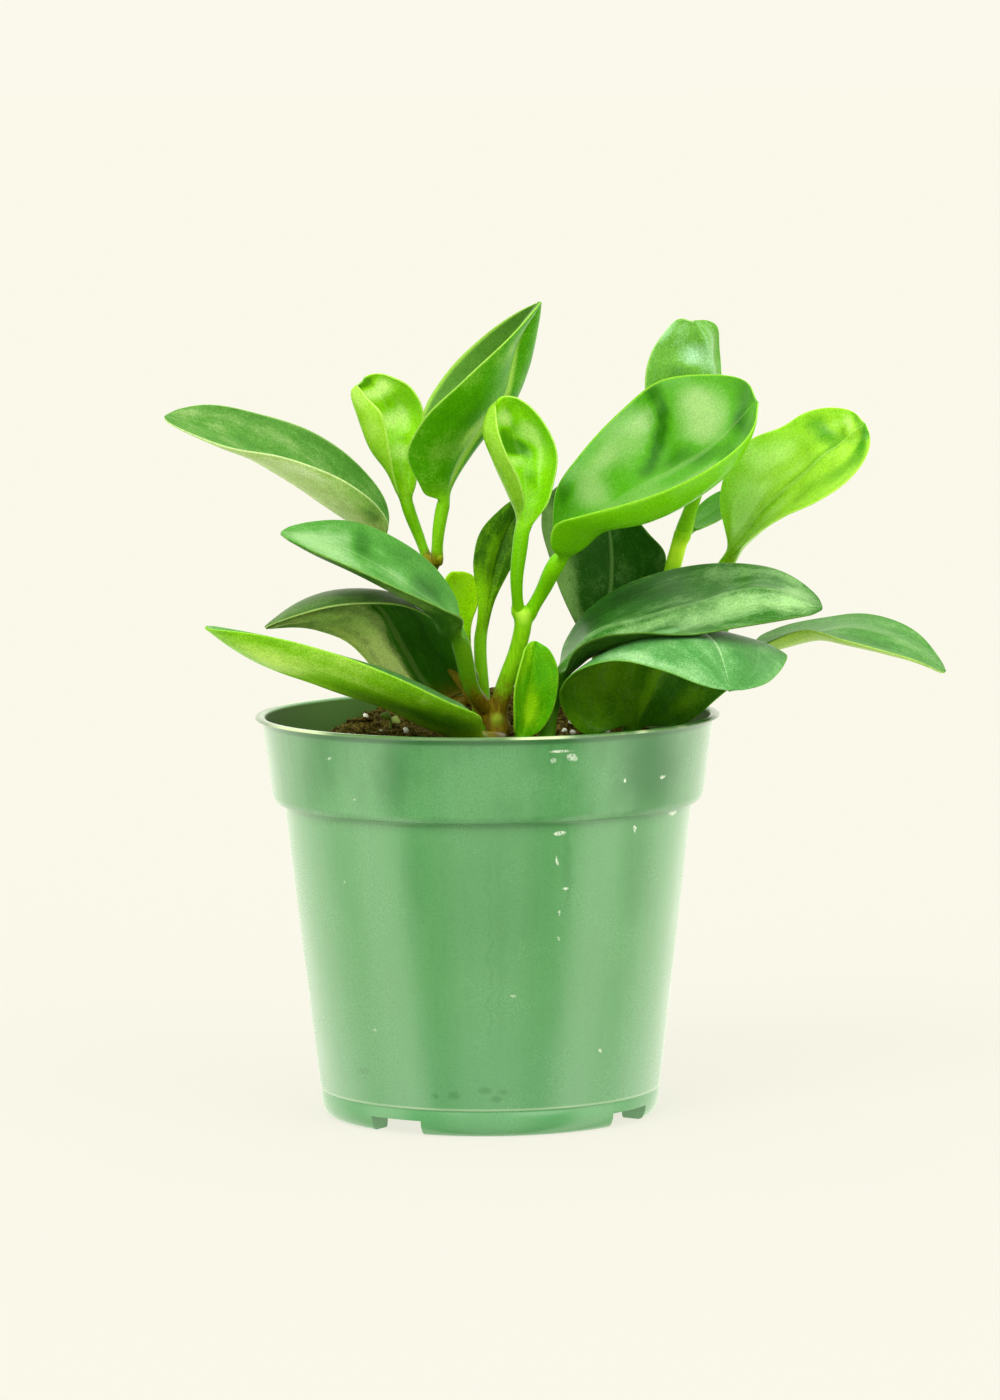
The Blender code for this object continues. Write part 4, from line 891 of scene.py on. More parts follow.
def blob(value, centre, width):
    return np.exp(-(((value - centre) / width) ** 2))


def in_place(points):
    """Points in metres, in the frame, from millimetres measured from the pot's axis."""
    return np.array(points, float) * MM + POT_AXIS


def circle(centre, across, upright, radius, angles):
    return centre + radius * (np.outer(np.cos(angles), across) + np.outer(np.sin(angles), upright))


def chord_parameter(points):
    steps = np.linalg.norm(np.diff(points, axis=0), axis=1)
    along = np.concatenate([[0], np.cumsum(steps)])
    return along / along[-1]


def curve_through(points, where):
    """Smooth curve through the points, read at shares of its chord length."""
    points = np.array(points, float)
    x = chord_parameter(points)
    steps = np.diff(x)
    slopes = np.diff(points, axis=0) / steps[:, None]
    tangents = np.empty_like(points)
    tangents[1:-1] = (slopes[:-1] * steps[1:, None] + slopes[1:] * steps[:-1, None]) / (
        steps[1:] + steps[:-1]
    )[:, None]
    tangents[0] = slopes[0]
    tangents[-1] = slopes[-1]
    if len(points) > 2:
        tangents[0] = 1.5 * slopes[0] - 0.5 * tangents[1]
        tangents[-1] = 1.5 * slopes[-1] - 0.5 * tangents[-2]
    where = np.clip(where, 0, 1)
    i = np.clip(np.searchsorted(x, where, side="right") - 1, 0, len(points) - 2)
    u = ((where - x[i]) / steps[i])[:, None]
    width = steps[i][:, None]
    return (
        (2 * u**3 - 3 * u**2 + 1) * points[i]
        + (u**3 - 2 * u**2 + u) * width * tangents[i]
        + (3 * u**2 - 2 * u**3) * points[i + 1]
        + (u**3 - u**2) * width * tangents[i + 1]
    )


def deselect():
    if bpy.context.object and bpy.context.object.mode != "OBJECT":
        bpy.ops.object.mode_set(mode="OBJECT")
    bpy.ops.object.select_all(action="DESELECT")


def make_active(piece):
    deselect()
    piece.select_set(True)
    bpy.context.view_layer.objects.active = piece


def new_piece(add, name, **options):
    """A primitive, added alone and named."""
    deselect()
    add(**options)
    piece = bpy.context.object
    piece.name = name
    piece.data.name = name
    return piece


def join(pieces):
    deselect()
    for piece in pieces:
        piece.select_set(True)
    bpy.context.view_layer.objects.active = pieces[0]
    bpy.ops.object.join()
    return pieces[0]


def modify(piece, kind, **values):
    """Adds a modifier with these values and applies it."""
    make_active(piece)
    bpy.ops.object.modifier_add(type=kind)
    modifier = piece.modifiers[-1]
    for name, value in values.items():
        setattr(modifier, name, value)
    bpy.ops.object.modifier_apply(modifier=modifier.name)


def finish_piece(piece, material, nodes):
    make_active(piece)
    bpy.ops.object.transform_apply(location=True, rotation=True, scale=True)
    piece.data.materials.clear()
    piece.data.materials.append(material)
    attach(piece, "root")
    if nodes:
        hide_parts(*nodes)
    return piece


def rolled_sheet(name, rings, values):
    """Closed skin over rings of points: a flat grid, rolled up, joined at its seam and filled at its ends.

    values are named numbers for each point, kept as attributes that the material reads.
    """
    rows, columns = rings.shape[:2]
    piece = new_piece(
        bpy.ops.mesh.primitive_grid_add, name, x_subdivisions=rows - 1, y_subdivisions=columns, size=2,
    )
    mesh = piece.data
    flat = np.empty(len(mesh.vertices) * 3)
    mesh.vertices.foreach_get("co", flat)
    flat = flat.reshape(-1, 3)
    row = np.rint((flat[:, 0] + 1) / 2 * (rows - 1)).astype(int)
    column = np.rint((flat[:, 1] + 1) / 2 * columns).astype(int) % columns
    mesh.vertices.foreach_set("co", in_place(rings[row, column]).ravel())
    for key, value in values.items():
        layer = mesh.attributes.new(key, "FLOAT", "POINT")
        at_points = np.broadcast_to(value, rings.shape[:2])[row, column]
        layer.data.foreach_set("value", at_points.astype(np.float32))
    bpy.ops.object.mode_set(mode="EDIT")
    bpy.ops.mesh.select_mode(type="VERT")
    bpy.ops.mesh.select_all(action="SELECT")
    bpy.ops.mesh.remove_doubles(threshold=1e-7)
    bpy.ops.mesh.select_all(action="DESELECT")
    bpy.ops.mesh.select_non_manifold()
    bpy.ops.mesh.fill_holes(sides=0)
    bpy.ops.mesh.select_all(action="SELECT")
    bpy.ops.mesh.normals_make_consistent(inside=False)
    bpy.ops.object.mode_set(mode="OBJECT")
    bpy.ops.object.shade_smooth()
    return piece


class Nodes:
    """A material's nodes, built one call at a time; each call returns the new node's output."""

    def __init__(self, name):
        self.material = bpy.data.materials.new(name)
        self.material.use_nodes = True
        self.tree = self.material.node_tree
        self.shader = self.tree.nodes["Principled BSDF"]

    def put(self, socket, value):
        if isinstance(value, bpy.types.NodeSocket):
            self.tree.links.new(value, socket)
        elif socket.type == "RGBA" and len(value) == 3:
            socket.default_value = (*value, 1)
        else:
            socket.default_value = value

    def node(self, kind, inputs=(), output=0, **values):
        new = self.tree.nodes.new("ShaderNode" + kind)
        for name, value in values.items():
            setattr(new, name, value)
        for key, value in dict(inputs).items():
            self.put(new.inputs[key], value)
        return new.outputs[output]

    def math(self, operation, *values):
        return self.node("Math", enumerate(values), operation=operation)

    def times(self, first, second):
        return self.math("MULTIPLY", first, second)

    def plus(self, first, second):
        return self.math("ADD", first, second)

    def swing(self, value, amount):
        """How far a noise is from its middle, to both sides."""
        return self.times(self.math("SUBTRACT", value, 0.5), amount)

    def vector(self, operation, *values, output="Vector"):
        return self.node("VectorMath", enumerate(values), output=output, operation=operation)

    def stretched(self, vector, scale):
        return self.vector("MULTIPLY", vector, scale)

    def from_axis(self):
        """Position in millimetres from the foot of the pot's axis."""
        moved = self.vector("SUBTRACT", self.node("TexCoord", output="Object"), tuple(POT_AXIS))
        return self.stretched(moved, (1 / MM,) * 3)

    def split(self, vector, part):
        return self.node("SeparateXYZ", {0: vector}, output=part)

    def combine(self, x, y, z):
        return self.node("CombineXYZ", {0: x, 1: y, 2: z})

    def noise(self, vector, scale=1.0, detail=2.0, roughness=0.5, output=0):
        inputs = {"Vector": vector, "Scale": scale, "Detail": detail, "Roughness": roughness}
        return self.node("TexNoise", inputs, output=output)

    def ramp(self, value, low, high, start=0.0, end=1.0, smooth=True):
        kind = "SMOOTHSTEP" if smooth else "LINEAR"
        inputs = {"Value": value, "From Min": low, "From Max": high, "To Min": start, "To Max": end}
        return self.node("MapRange", inputs, interpolation_type=kind)

    def band(self, value, rise, fall):
        """1 between two limits of the value, with a soft rise below and a soft fall above."""
        return self.times(self.ramp(value, *rise), self.ramp(value, *fall, start=1.0, end=0.0))

    def near(self, place, point, full, none, amount):
        """The amount within one distance of a point, down to nothing at another."""
        far = self.vector("DISTANCE", place, point, output="Value")
        return self.ramp(far, full, none, start=amount, end=0.0)

    def mix(self, factor, first, second):
        inputs = {0: factor, 6: first, 7: second}
        return self.node("Mix", inputs, output=2, data_type="RGBA", clamp_factor=True)

    def layered(self, colour, *layers):
        """The colour under layers of others, each given as how far it covers and its colour."""
        for cover, other in layers:
            colour = self.mix(cover, colour, other)
        return colour

    def finish(self, height, strength, distance, shader):
        """Sets the shader's inputs and its relief, and gives the material."""
        for name, value in shader.items():
            self.put(self.shader.inputs[name], value)
        normal = self.node("Bump", {"Height": height, "Strength": strength, "Distance": distance})
        self.put(self.shader.inputs["Normal"], normal)
        return self.material


def pot_mark(nodes, place, front, mark, fade):
    """Where a soft mark on the pot's front shows, from its middle, half width, half height and strength."""
    x, height, half_width, half_height, amount = mark
    moved = nodes.vector("SUBTRACT", place, (x, 0.0, height))
    shares = nodes.stretched(moved, (1 / half_width, 0.0, 1 / half_height))
    far = nodes.vector("LENGTH", shares, output="Value")
    return nodes.times(front, nodes.ramp(far, *fade, start=amount, end=0.0))


def pot_skin():
    """Satin moulded plastic: faint upright streaks, fine grain and a few dry marks.

    Light and shade are painted on: a pale thin lip lit through, shade under the lip and the band and
    on the inside wall, a highlight along the groove and dark reflections on the front.
    """
    pot = settings().pot
    nodes = Nodes("pot_plastic")
    place = nodes.from_axis()
    x, y, z = (nodes.split(place, i) for i in range(3))
    radius = nodes.math("SQRT", nodes.plus(nodes.times(x, x), nodes.times(y, y)))
    front = nodes.ramp(y, *FRONT_FADE, start=1.0, end=0.0)
    streaks = nodes.noise(nodes.stretched(place, UPRIGHT_STREAKS), detail=4.0, roughness=0.6)
    clouds = nodes.noise(place, scale=0.05, detail=3.0)
    grain = nodes.noise(place, scale=2.6, detail=3.0, roughness=0.6)
    warp = nodes.swing(nodes.noise(place, scale=0.25, detail=3.0), 5.0)
    warped = nodes.combine(nodes.plus(x, warp), y, z)
    base = tuple(pot.colour)
    darker = tint(base, DARKER_TINT)
    paler = tuple(min(1.0, c * PALER_TINT + PALER_LIFT) for c in base)
    outside = nodes.ramp(z, BAND_FOOT, LIP_HEIGHT, BAND_FOOT_RADIUS, BAND_TOP_RADIUS, smooth=False)
    depth = nodes.math("SUBTRACT", outside, radius)
    inside = nodes.times(nodes.ramp(depth, 0.45, 0.75), nodes.ramp(z, BAND_FOOT, BAND_FOOT + 1))
    under_band_shade = nodes.band(z, **UNDER_BAND_SHADE)
    groove_highlight = nodes.band(z, **GROOVE_HIGHLIGHT_HEIGHTS)
    under_lip_shadow = nodes.band(z, **UNDER_LIP_SHADOW)
    lip = nodes.times(nodes.ramp(radius, *LIP_EDGE), nodes.ramp(z, *LIP_EDGE_HEIGHT))
    # Painted light through the thin lip: bright spots along it, brightest at BRIGHT_LIP_PLACES
    lit_lip_spots = nodes.noise(nodes.stretched(place, LIP_STRETCH), detail=3.0)
    lit_lip_spots = nodes.ramp(lit_lip_spots, 0.58, 0.74)
    for lip_place in BRIGHT_LIP_PLACES:
        away = nodes.math("ABSOLUTE", nodes.math("SUBTRACT", x, lip_place))
        lit_lip_spots = nodes.math("MAXIMUM", lit_lip_spots, nodes.ramp(away, 3.0, 9.0, start=1.0, end=0.0))
    colour = nodes.layered(
        base,
        (nodes.ramp(streaks, 0.38, 0.6, start=0.28, end=0.0), darker),
        (nodes.ramp(clouds, 0.42, 0.7, end=0.5), paler),
        (nodes.ramp(z, 72.5, 73.5, start=0.6, end=0.0), paler),
        (nodes.ramp(z, 8, 40, start=0.4, end=0.0), tint(paler, (1, 1, FOOT_BLUE))),
        (nodes.ramp(grain, 0.35, 0.7, end=0.3), paler),
        (nodes.ramp(grain, 0.5, 0.3, end=0.25), darker),
    )
    # Painted dark reflections and shade on the front, with small dark spots near the foot
    for mark in POT_PAINTED_SHADE_AND_REFLECTIONS:
        colour = nodes.mix(pot_mark(nodes, warped, front, mark, SHADOW_FADE), colour, darker)
    for mark in POT_SCRATCHES:
        faint = pot_mark(nodes, warped, front, mark, SCRATCH_FADE)
        colour = nodes.mix(nodes.times(faint, nodes.ramp(grain, 0.34, 0.54)), colour, WORN_PLASTIC)
    colour = nodes.layered(
        colour,
        # painted shade under the band, at the step
        (nodes.times(under_band_shade, 0.25), darker),
        # painted highlight along the upper edge of the groove
        (nodes.times(groove_highlight, 0.45), GROOVE_HIGHLIGHT_COLOUR),
        (nodes.ramp(z, 5.6, 6.0, start=0.3, end=0.0), darker),
        # painted shadow under the lip
        (nodes.times(under_lip_shadow, 0.9), darker),
        # painted shade on the inside wall
        (inside, tint(base, INSIDE_SHADE_TINT)),
        # painted light through the thin lip
        (lip, nodes.mix(lit_lip_spots, tint(base, DULL_LIP_TINT), tuple(pot.lit_lip_colour))),
    )
    roughness = nodes.ramp(clouds, 0.3, 0.7, pot.roughness - 0.03, pot.roughness + 0.05)
    roughness = nodes.plus(roughness, nodes.ramp(grain, 0.4, 0.7, end=0.03))
    roughness = nodes.plus(roughness, nodes.times(inside, 0.45))
    no_coat = nodes.math("MAXIMUM", inside, lip)
    return nodes.finish(nodes.plus(grain, nodes.times(streaks, 1.2)), 0.05, 0.0002, {
        "Base Color": colour,
        "Roughness": roughness,
        "Specular IOR Level": 0.5,
        "Coat Weight": nodes.ramp(no_coat, 0.0, 1.0, start=0.35, end=0.0),
        "Coat Roughness": 0.28,
    })


def soil_skin():
    soil = settings().soil
    nodes = Nodes("peat")
    place = nodes.from_axis()
    lumps = nodes.noise(place, scale=1.4, detail=5.0, roughness=0.7)
    fine = nodes.noise(place, scale=6.0, detail=3.0, roughness=0.7)
    colour = nodes.mix(nodes.ramp(lumps, 0.42, 0.62), tuple(soil.dark), tuple(soil.light))
    colour = nodes.mix(nodes.ramp(fine, 0.35, 0.65, end=0.8), colour, tint(soil.dark, (0.4,) * 3))
    return nodes.finish(nodes.plus(lumps, fine), 0.7, 0.0006, {
        "Base Color": colour,
        "Roughness": 0.9,
        "Specular IOR Level": 0.1,
    })


def perlite_skin():
    nodes = Nodes("perlite")
    pits = nodes.noise(nodes.from_axis(), scale=4.0, detail=3.0)
    return nodes.finish(pits, 0.5, 0.0003, {
        "Base Color": nodes.mix(nodes.ramp(pits, 0.28, 0.48), (0.5, 0.46, 0.34), (0.93, 0.92, 0.84)),
        "Roughness": 0.8,
    })


def sprout_skin():
    nodes = Nodes("seed_leaf")
    place = nodes.from_axis()
    pale = nodes.ramp(nodes.split(place, 0), SPROUT[0] - 0.5, SPROUT[0] + 1.5)
    return nodes.finish(nodes.noise(place, scale=2.0), 0.2, 0.0002, {
        "Base Color": nodes.mix(pale, linear((86, 120, 14)), linear((190, 214, 110))),
        "Roughness": 0.45,
    })


def old_growth(nodes, place):
    """How far the skin of a stem has turned brown, near the soil and round its old joints."""
    limit = settings().stems.brown_height / MM
    patches = nodes.noise(place, scale=0.35, detail=4.0, roughness=0.6)
    height = nodes.plus(nodes.split(place, 2), nodes.swing(patches, 12.0))
    old = nodes.ramp(height, limit - 5, limit + 2, start=1.0, end=0.0)
    old = nodes.math("MAXIMUM", old, nodes.near(place, OLD_JOINT, 2.4, 4.5, 0.9))
    return nodes.math("MAXIMUM", old, nodes.near(place, OLD_ARM, 4.5, 7.5, 0.95))


def stem_stripes(nodes, place):
    return nodes.noise(nodes.stretched(place, STEM_STRETCH), detail=3.0)


def brown_skin(nodes, place):
    stripes = nodes.ramp(stem_stripes(nodes, place), 0.4, 0.7)
    return nodes.mix(stripes, tuple(settings().stems.brown), linear(DRY_BROWN))


def stem_skin():
    """Smooth green skin, brighter where it is young, brown near the soil and round the old joints.

    Its young upper parts are yellower, with painted light on them, and a painted highlight lies on the
    joint at the fork.
    """
    stems = settings().stems
    nodes = Nodes("stem_skin")
    place = nodes.from_axis()
    height = nodes.split(place, 2)
    old = old_growth(nodes, place)
    stripes = stem_stripes(nodes, place)
    colour = nodes.layered(
        tuple(stems.green),
        (nodes.ramp(height, *YOUNG_HEIGHTS), tuple(stems.young)),
        # young upper parts, yellower, with painted light on them
        (nodes.ramp(height, *LIT_TOP_HEIGHTS), linear(LIT_TOP_YELLOW)),
        (nodes.ramp(height, *GREEN_HEIGHTS), linear(TOP_GREEN)),
        (nodes.ramp(stripes, 0.35, 0.7, end=0.5), linear(STRIPE_GREEN)),
        (old, brown_skin(nodes, place)),
        (nodes.near(place, BUD, 0.6, 2.3, 0.85), linear(BUD_GREEN)),
        # painted highlight on the fork's joint
        (nodes.near(place, FORK, 0.6, 2.6, 0.7), linear(FORK_HIGHLIGHT_GREEN)),
    )
    return nodes.finish(stripes, 0.2, 0.0003, {
        "Base Color": colour,
        "Roughness": nodes.ramp(old, 0.0, 1.0, 0.34, 0.6),
        "Specular IOR Level": 0.12,
        "Specular Tint": WAXY_TINT,
    })


def leaf_skin(name, seed):
    """Waxy blade: streaked faces, a pale midrib, a pale margin with painted edge light, and broad painted
    highlights and shade.
    """
    skin = PLAIN_SKIN | SKINS[name]
    nodes = Nodes(name + "_skin")
    along, across, under, shade = (
        nodes.node("Attribute", output="Fac", attribute_name=key)
        for key in ("along", "across", "under", "shade")
    )
    side = nodes.math("ABSOLUTE", across)
    under = nodes.ramp(under, 0.3, 0.7)
    place = nodes.from_axis()
    neck = nodes.ramp(along, 0.0, NECK_SHARE, start=1.0, end=0.0)
    blade = nodes.math("SUBTRACT", 1.0, neck)
    wander = nodes.stretched(nodes.noise(place, scale=WANDER_SCALE, output="Color"), (WANDER,) * 3)

    def flow(lengthwise, crosswise):
        """Place on the blade, drawn out along it, for noises that run from neck to tip."""
        drawn = nodes.combine(nodes.times(along, lengthwise), nodes.times(across, crosswise), float(seed))
        return nodes.vector("ADD", drawn, wander)

    streaks = nodes.noise(flow(*STREAK_FLOW), detail=5.0, roughness=0.62)
    fine = nodes.noise(flow(*FINE_FLOW), detail=3.0, roughness=0.6)
    patches = nodes.noise(place, scale=0.2, detail=5.0, roughness=0.62)
    grain = nodes.noise(place, scale=2.4, detail=3.0, roughness=0.6)

    # shade holds the painted highlights and shade; the noises add the leaf's own streaks and mottling
    pale = nodes.plus(shade, nodes.swing(streaks, STREAK_CONTRAST * skin["streaks"]))
    pale = nodes.plus(pale, nodes.swing(patches, skin["mottle"]))
    pale = nodes.plus(pale, nodes.swing(grain, GRAIN_CONTRAST * skin["mottle"]))
    lighter = nodes.ramp(pale, 0.0, 1.0, smooth=False)
    deeper = nodes.ramp(pale, 0.0, -1.0, smooth=False)
    upper_pale, lower_pale = linear(skin["upper_pale"]), linear(skin["lower_pale"])
    faces = [
        nodes.layered(main, (deeper, tint(main, skin["deep"])), (lighter, paler))
        for main, paler in ((linear(skin["upper"]), upper_pale), (linear(skin["lower"]), lower_pale))
    ]

    veins = nodes.ramp(fine, 0.5, 0.8, end=skin.get("veins", VEINS_PER_STREAK * skin["streaks"]))
    wide = skin["rib_wide"]
    rib_width = nodes.ramp(along, 0.0, 1.0, RIB_AT_NECK * wide, RIB_AT_TIP * wide, smooth=False)
    rib = nodes.ramp(nodes.math("DIVIDE", side, rib_width), 0.4, 1.6, start=1.0, end=0.0)
    rib = nodes.times(rib, blade)
    # Pale margin: the leaf's own pale rim, with painted light along its edge
    edge = nodes.times(nodes.ramp(side, *PALE_RIM_AND_EDGE_LIGHT), nodes.times(blade, skin["edge"]))
    cells = nodes.node("TexVoronoi", {"Vector": place, "Scale": SPECK_SCALE})
    specks = nodes.ramp(cells, *SPECK_FADE, start=1.0, end=0.0)
    contour = nodes.math("ABSOLUTE", nodes.math("SUBTRACT", nodes.noise(place, scale=0.2), 0.5))
    scratches = nodes.ramp(contour, 0.0, LEAF_SCRATCH_WIDTH, start=1.0, end=0.0)
    scratches = nodes.times(scratches, nodes.ramp(patches, 0.5, 0.62))
    marks = nodes.times(nodes.math("MAXIMUM", specks, scratches), skin["marks"])
    stalk = linear(skin["stalk"])
    if name in GROWS_ON["stem_forked"]:
        stalk = nodes.mix(old_growth(nodes, place), stalk, brown_skin(nodes, place))
    colour = nodes.layered(
        faces[0],
        (under, faces[1]),
        (veins, upper_pale),
        (nodes.times(rib, skin["rib"]), nodes.mix(under, upper_pale, lower_pale)),
        (edge, lower_pale),
        (marks, tuple(settings().leaves.bloom)),
        (neck, stalk),
    )
    bright = nodes.ramp(grain, 0.3, 0.7, *GRAIN_BRIGHTNESS)
    colour = nodes.stretched(colour, nodes.combine(bright, bright, bright))

    relief = nodes.plus(nodes.plus(nodes.times(rib, RIB_SINK), streaks), nodes.times(fine, 0.5))
    relief = nodes.times(nodes.plus(relief, nodes.times(grain, 0.3)), blade)
    return nodes.finish(relief, 0.3, 0.0004, {
        "Base Color": colour,
        "Roughness": nodes.ramp(streaks, 0.3, 0.7, skin["rough"] - 0.05, skin["rough"] + 0.06),
        "Specular IOR Level": LEAF_SHINE,
        "Specular Tint": WAXY_TINT,
        "Subsurface Weight": skin["glow"],
        "Subsurface Radius": LEAF_GLOW_COLOURS,
        "Subsurface Scale": LEAF_GLOW_DEPTH,
        "Coat Weight": skin["coat"],
        "Coat Roughness": 0.18,
    })


def blade_halves(leaf, shares, midrib, tangents, neck_radius, tip_radius):
    """For the left and the right half: the line of its margin, and the line along its middle."""
    left, right = np.array(leaf["left"], float), np.array(leaf["right"], float)
    base_side = right[0] - left[0]
    base_side = unit(base_side - tangents[0] * (base_side @ tangents[0]))
    tip_side = right[-1] - left[-1]
    tip_side = unit(tip_side - tangents[-1] * (tip_side @ tangents[-1]))
    length = np.sum(np.linalg.norm(np.diff(midrib, axis=0), axis=1))
    from_tip = np.clip((1 - shares) * length / (TIP_LENGTH * tip_radius), 0, 1)
    rounding = np.maximum(np.sqrt(1 - (1 - from_tip) ** 2), TIP_NARROWEST)[:, None]
    halves = []
    for margin, bow, sign in ((left, leaf["bow"][0], -1), (right, leaf["bow"][1], 1)):
        start = midrib[0] + sign * base_side * neck_radius
        end = midrib[-1] + sign * tip_side * tip_radius
        edge = curve_through(np.vstack([start, margin, end]), shares)
        if np.isscalar(bow):
            below = unit(np.cross(sign * (edge - midrib), tangents))
            swell = np.sin(np.pi * shares) ** BOW_FULLNESS
            middle = (edge + midrib) / 2 - below * (bow * swell)[:, None]
        else:
            ends = ((start + midrib[0]) / 2, (end + midrib[-1]) / 2)
            middle = curve_through(np.vstack([ends[0], bow, ends[1]]), shares)
        halves.append((midrib + (edge - midrib) * rounding, midrib + (middle - midrib) * rounding))
    return halves, base_side


def blade_faces(name, seed, shares, midrib, halves):
    """Points of the upper face from left to right, then of the under face from right to left."""
    sheet = np.zeros((BLADE_SECTIONS, len(ACROSS), 3))
    for j, s in enumerate(ACROSS):
        edge, middle = halves[0] if s < 0 else halves[1]
        a = abs(s)
        sheet[:, j] = midrib * (1 - a) * (1 - 2 * a) + middle * 4 * a * (1 - a) + edge * a * (2 * a - 1)
    normals = unit(np.cross(np.gradient(sheet, axis=1), np.gradient(sheet, axis=0)))
    sheet = sheet + normals * blade_relief(name, seed, shares)[..., None]
    thickness = BLADE_EDGE + (BLADE_CENTRE - BLADE_EDGE) * (1 - np.abs(ACROSS) ** EDGE_THINNING)
    thinning = TIP_THINNING * smooth_step((shares - TIP_FROM) / (1 - TIP_FROM))
    half_thickness = normals * np.outer(1 - thinning, thickness)[..., None] / 2
    return np.concatenate([sheet + half_thickness, (sheet - half_thickness)[:, ::-1]], axis=1)


def blade_shape(name, seed):
    """Rings of points over one leaf, from seat to tip, and what its material has to know of each."""
    leaf = LEAVES[name]
    seat_radius, neck_radius = leaf["radii"]
    neck_radius, round_share = WIDE_NECKS.get(name, (neck_radius, ROUND_SHARE))
    line = np.array(leaf["petiole"] + leaf["midrib"], float)
    petiole_share = chord_parameter(line)[len(leaf["petiole"]) - 1]
    u = np.linspace(0, 1, BLADE_SECTIONS)
    shares = EVEN_SPACING * u + (1 - EVEN_SPACING) * (1 - np.cos(np.pi * u)) / 2
    midrib = curve_through(line, petiole_share + (1 - petiole_share) * shares)
    petiole = curve_through(line, np.linspace(0, petiole_share, PETIOLE_SECTIONS + 1)[:-1])
    petiole[0] += SEAT_DEPTH * seat_radius * unit(petiole[0] - petiole[1])
    tangents = unit(np.gradient(midrib, axis=0))
    tip_radius = BLUNT_TIPS.get(name, TIP_RADIUS)
    halves, base_side = blade_halves(leaf, shares, midrib, tangents, neck_radius, tip_radius)
    blade = blade_faces(name, seed, shares, midrib, halves)
    corner = math.pi / (2 * len(ACROSS))
    turns = np.arccos(-ACROSS * math.cos(corner))
    angles = np.concatenate([np.pi - turns, -turns])

    centres = np.vstack([petiole, midrib])
    directions = unit(np.gradient(centres, axis=0))
    side = base_side
    rings = []
    for i in range(PETIOLE_SECTIONS, -1, -1):
        side = unit(side - directions[i] * (side @ directions[i]))
        if i < PETIOLE_SECTIONS:
            share = i / PETIOLE_SECTIONS
            radius = seat_radius + (neck_radius - seat_radius) * smooth_step(share)
            radius += SEAT_FLARE * math.exp(-((share / SEAT_FLARE_SHARE) ** 2))
            upright = unit(np.cross(side, directions[i]))
            rings.insert(0, circle(centres[i], side, upright, radius, angles))
    for i in range(BLADE_SECTIONS):
        roundness = 1 - smooth_step(shares[i] / round_share)
        side = halves[1][0][i] - halves[0][0][i]
        side = unit(side - tangents[i] * (side @ tangents[i]))
        neck = circle(midrib[i], side, unit(np.cross(side, tangents[i])), neck_radius, angles)
        rings.append(neck * roundness + blade[i] * (1 - roundness))
    along = np.concatenate([np.linspace(-1, 0, PETIOLE_SECTIONS + 1)[:-1], shares])[:, None]
    across = np.concatenate([ACROSS, ACROSS[::-1]])[None, :]
    under = np.concatenate([np.zeros(len(ACROSS)), np.ones(len(ACROSS))])[None, :]
    values = {"along": along, "across": across, "under": under, "shade": painted_light_at(name, along, across, under)}
    return np.array(rings), values


def blade_relief(name, seed, shares):
    """How far each point of a blade stands above its plain curve, in millimetres."""
    waves = settings().leaves.unevenness / MM
    relief = np.zeros((len(shares), len(ACROSS)))
    for i, u in enumerate(shares):
        for j, s in enumerate(ACROSS):
            place = Vector((u * WAVES_ALONG, s * WAVES_ACROSS, seed * WAVES_APART))
            relief[i, j] = waves * noise.noise(place)
    for u, s, length, width, height in DENTS.get(name, ()):
        relief += height * np.outer(blob(shares, u, length), blob(ACROSS, s, width))
    ends = smooth_step(shares / RELIEF_FROM) * smooth_step((1 - shares) / RELIEF_TO)
    return relief * ends[:, None] * (1 - np.abs(ACROSS) ** 4)[None, :]


def painted_light_at(name, along, across, under):
    """How much painted highlight or shade each point of a blade has over its leaf's main colours."""
    total = np.zeros(np.broadcast_shapes(along.shape, across.shape))
    for face, u, s, length, width, amount in PAINTED_LIGHT_AND_SHADE.get(name, ()):
        far = ((along - u) / length) ** 2 + ((across - s) / width) ** 2
        total = total + amount * np.exp(-(far ** 1.5)) * (under == face)
    return total


def soil_height(x, y, radius):
    """Tilted surface: it rises to the back and sinks beside the wall at the left and right."""
    rise = SOIL_SLOPE * max(0.0, y - SOIL_RISE_FROM)
    beside_wall = float(smooth_step((radius - SOIL_SINK_FROM) / SOIL_SINK_OVER))
    sink = SOIL_SINK * beside_wall * min(1.0, abs(x) / SOIL_SINK_FROM) ** 2
    lumps = math.sin(0.55 * x + 1.3) * math.cos(0.47 * y) + 0.6 * math.sin(0.9 * y - 0.35 * x)
    away_from_stems = float(smooth_step((radius - SOIL_EVEN_TO) / SOIL_EVEN_FADE))
    crumble = CRUMBLE_HEIGHT * noise.fractal(Vector((x, y, 0.0)) * CRUMBLE_SCALE, *CRUMBLE_FRACTAL)
    return SOIL_FRONT + rise - sink + SOIL_LUMP * lumps * away_from_stems + crumble


def inner_radius(height):
    """The pot's inner radius at a height, in millimetres."""
    wall = settings().pot.wall / MM
    heights = (FLOOR_TOP, BODY_TOP, BAND_FOOT, settings().pot.height / MM)
    radii = (GROOVE_RADIUS - wall, BODY_TOP_RADIUS - wall, BAND_FOOT_RADIUS - wall, BAND_TOP_RADIUS - wall)
    return float(np.interp(height, heights, radii))


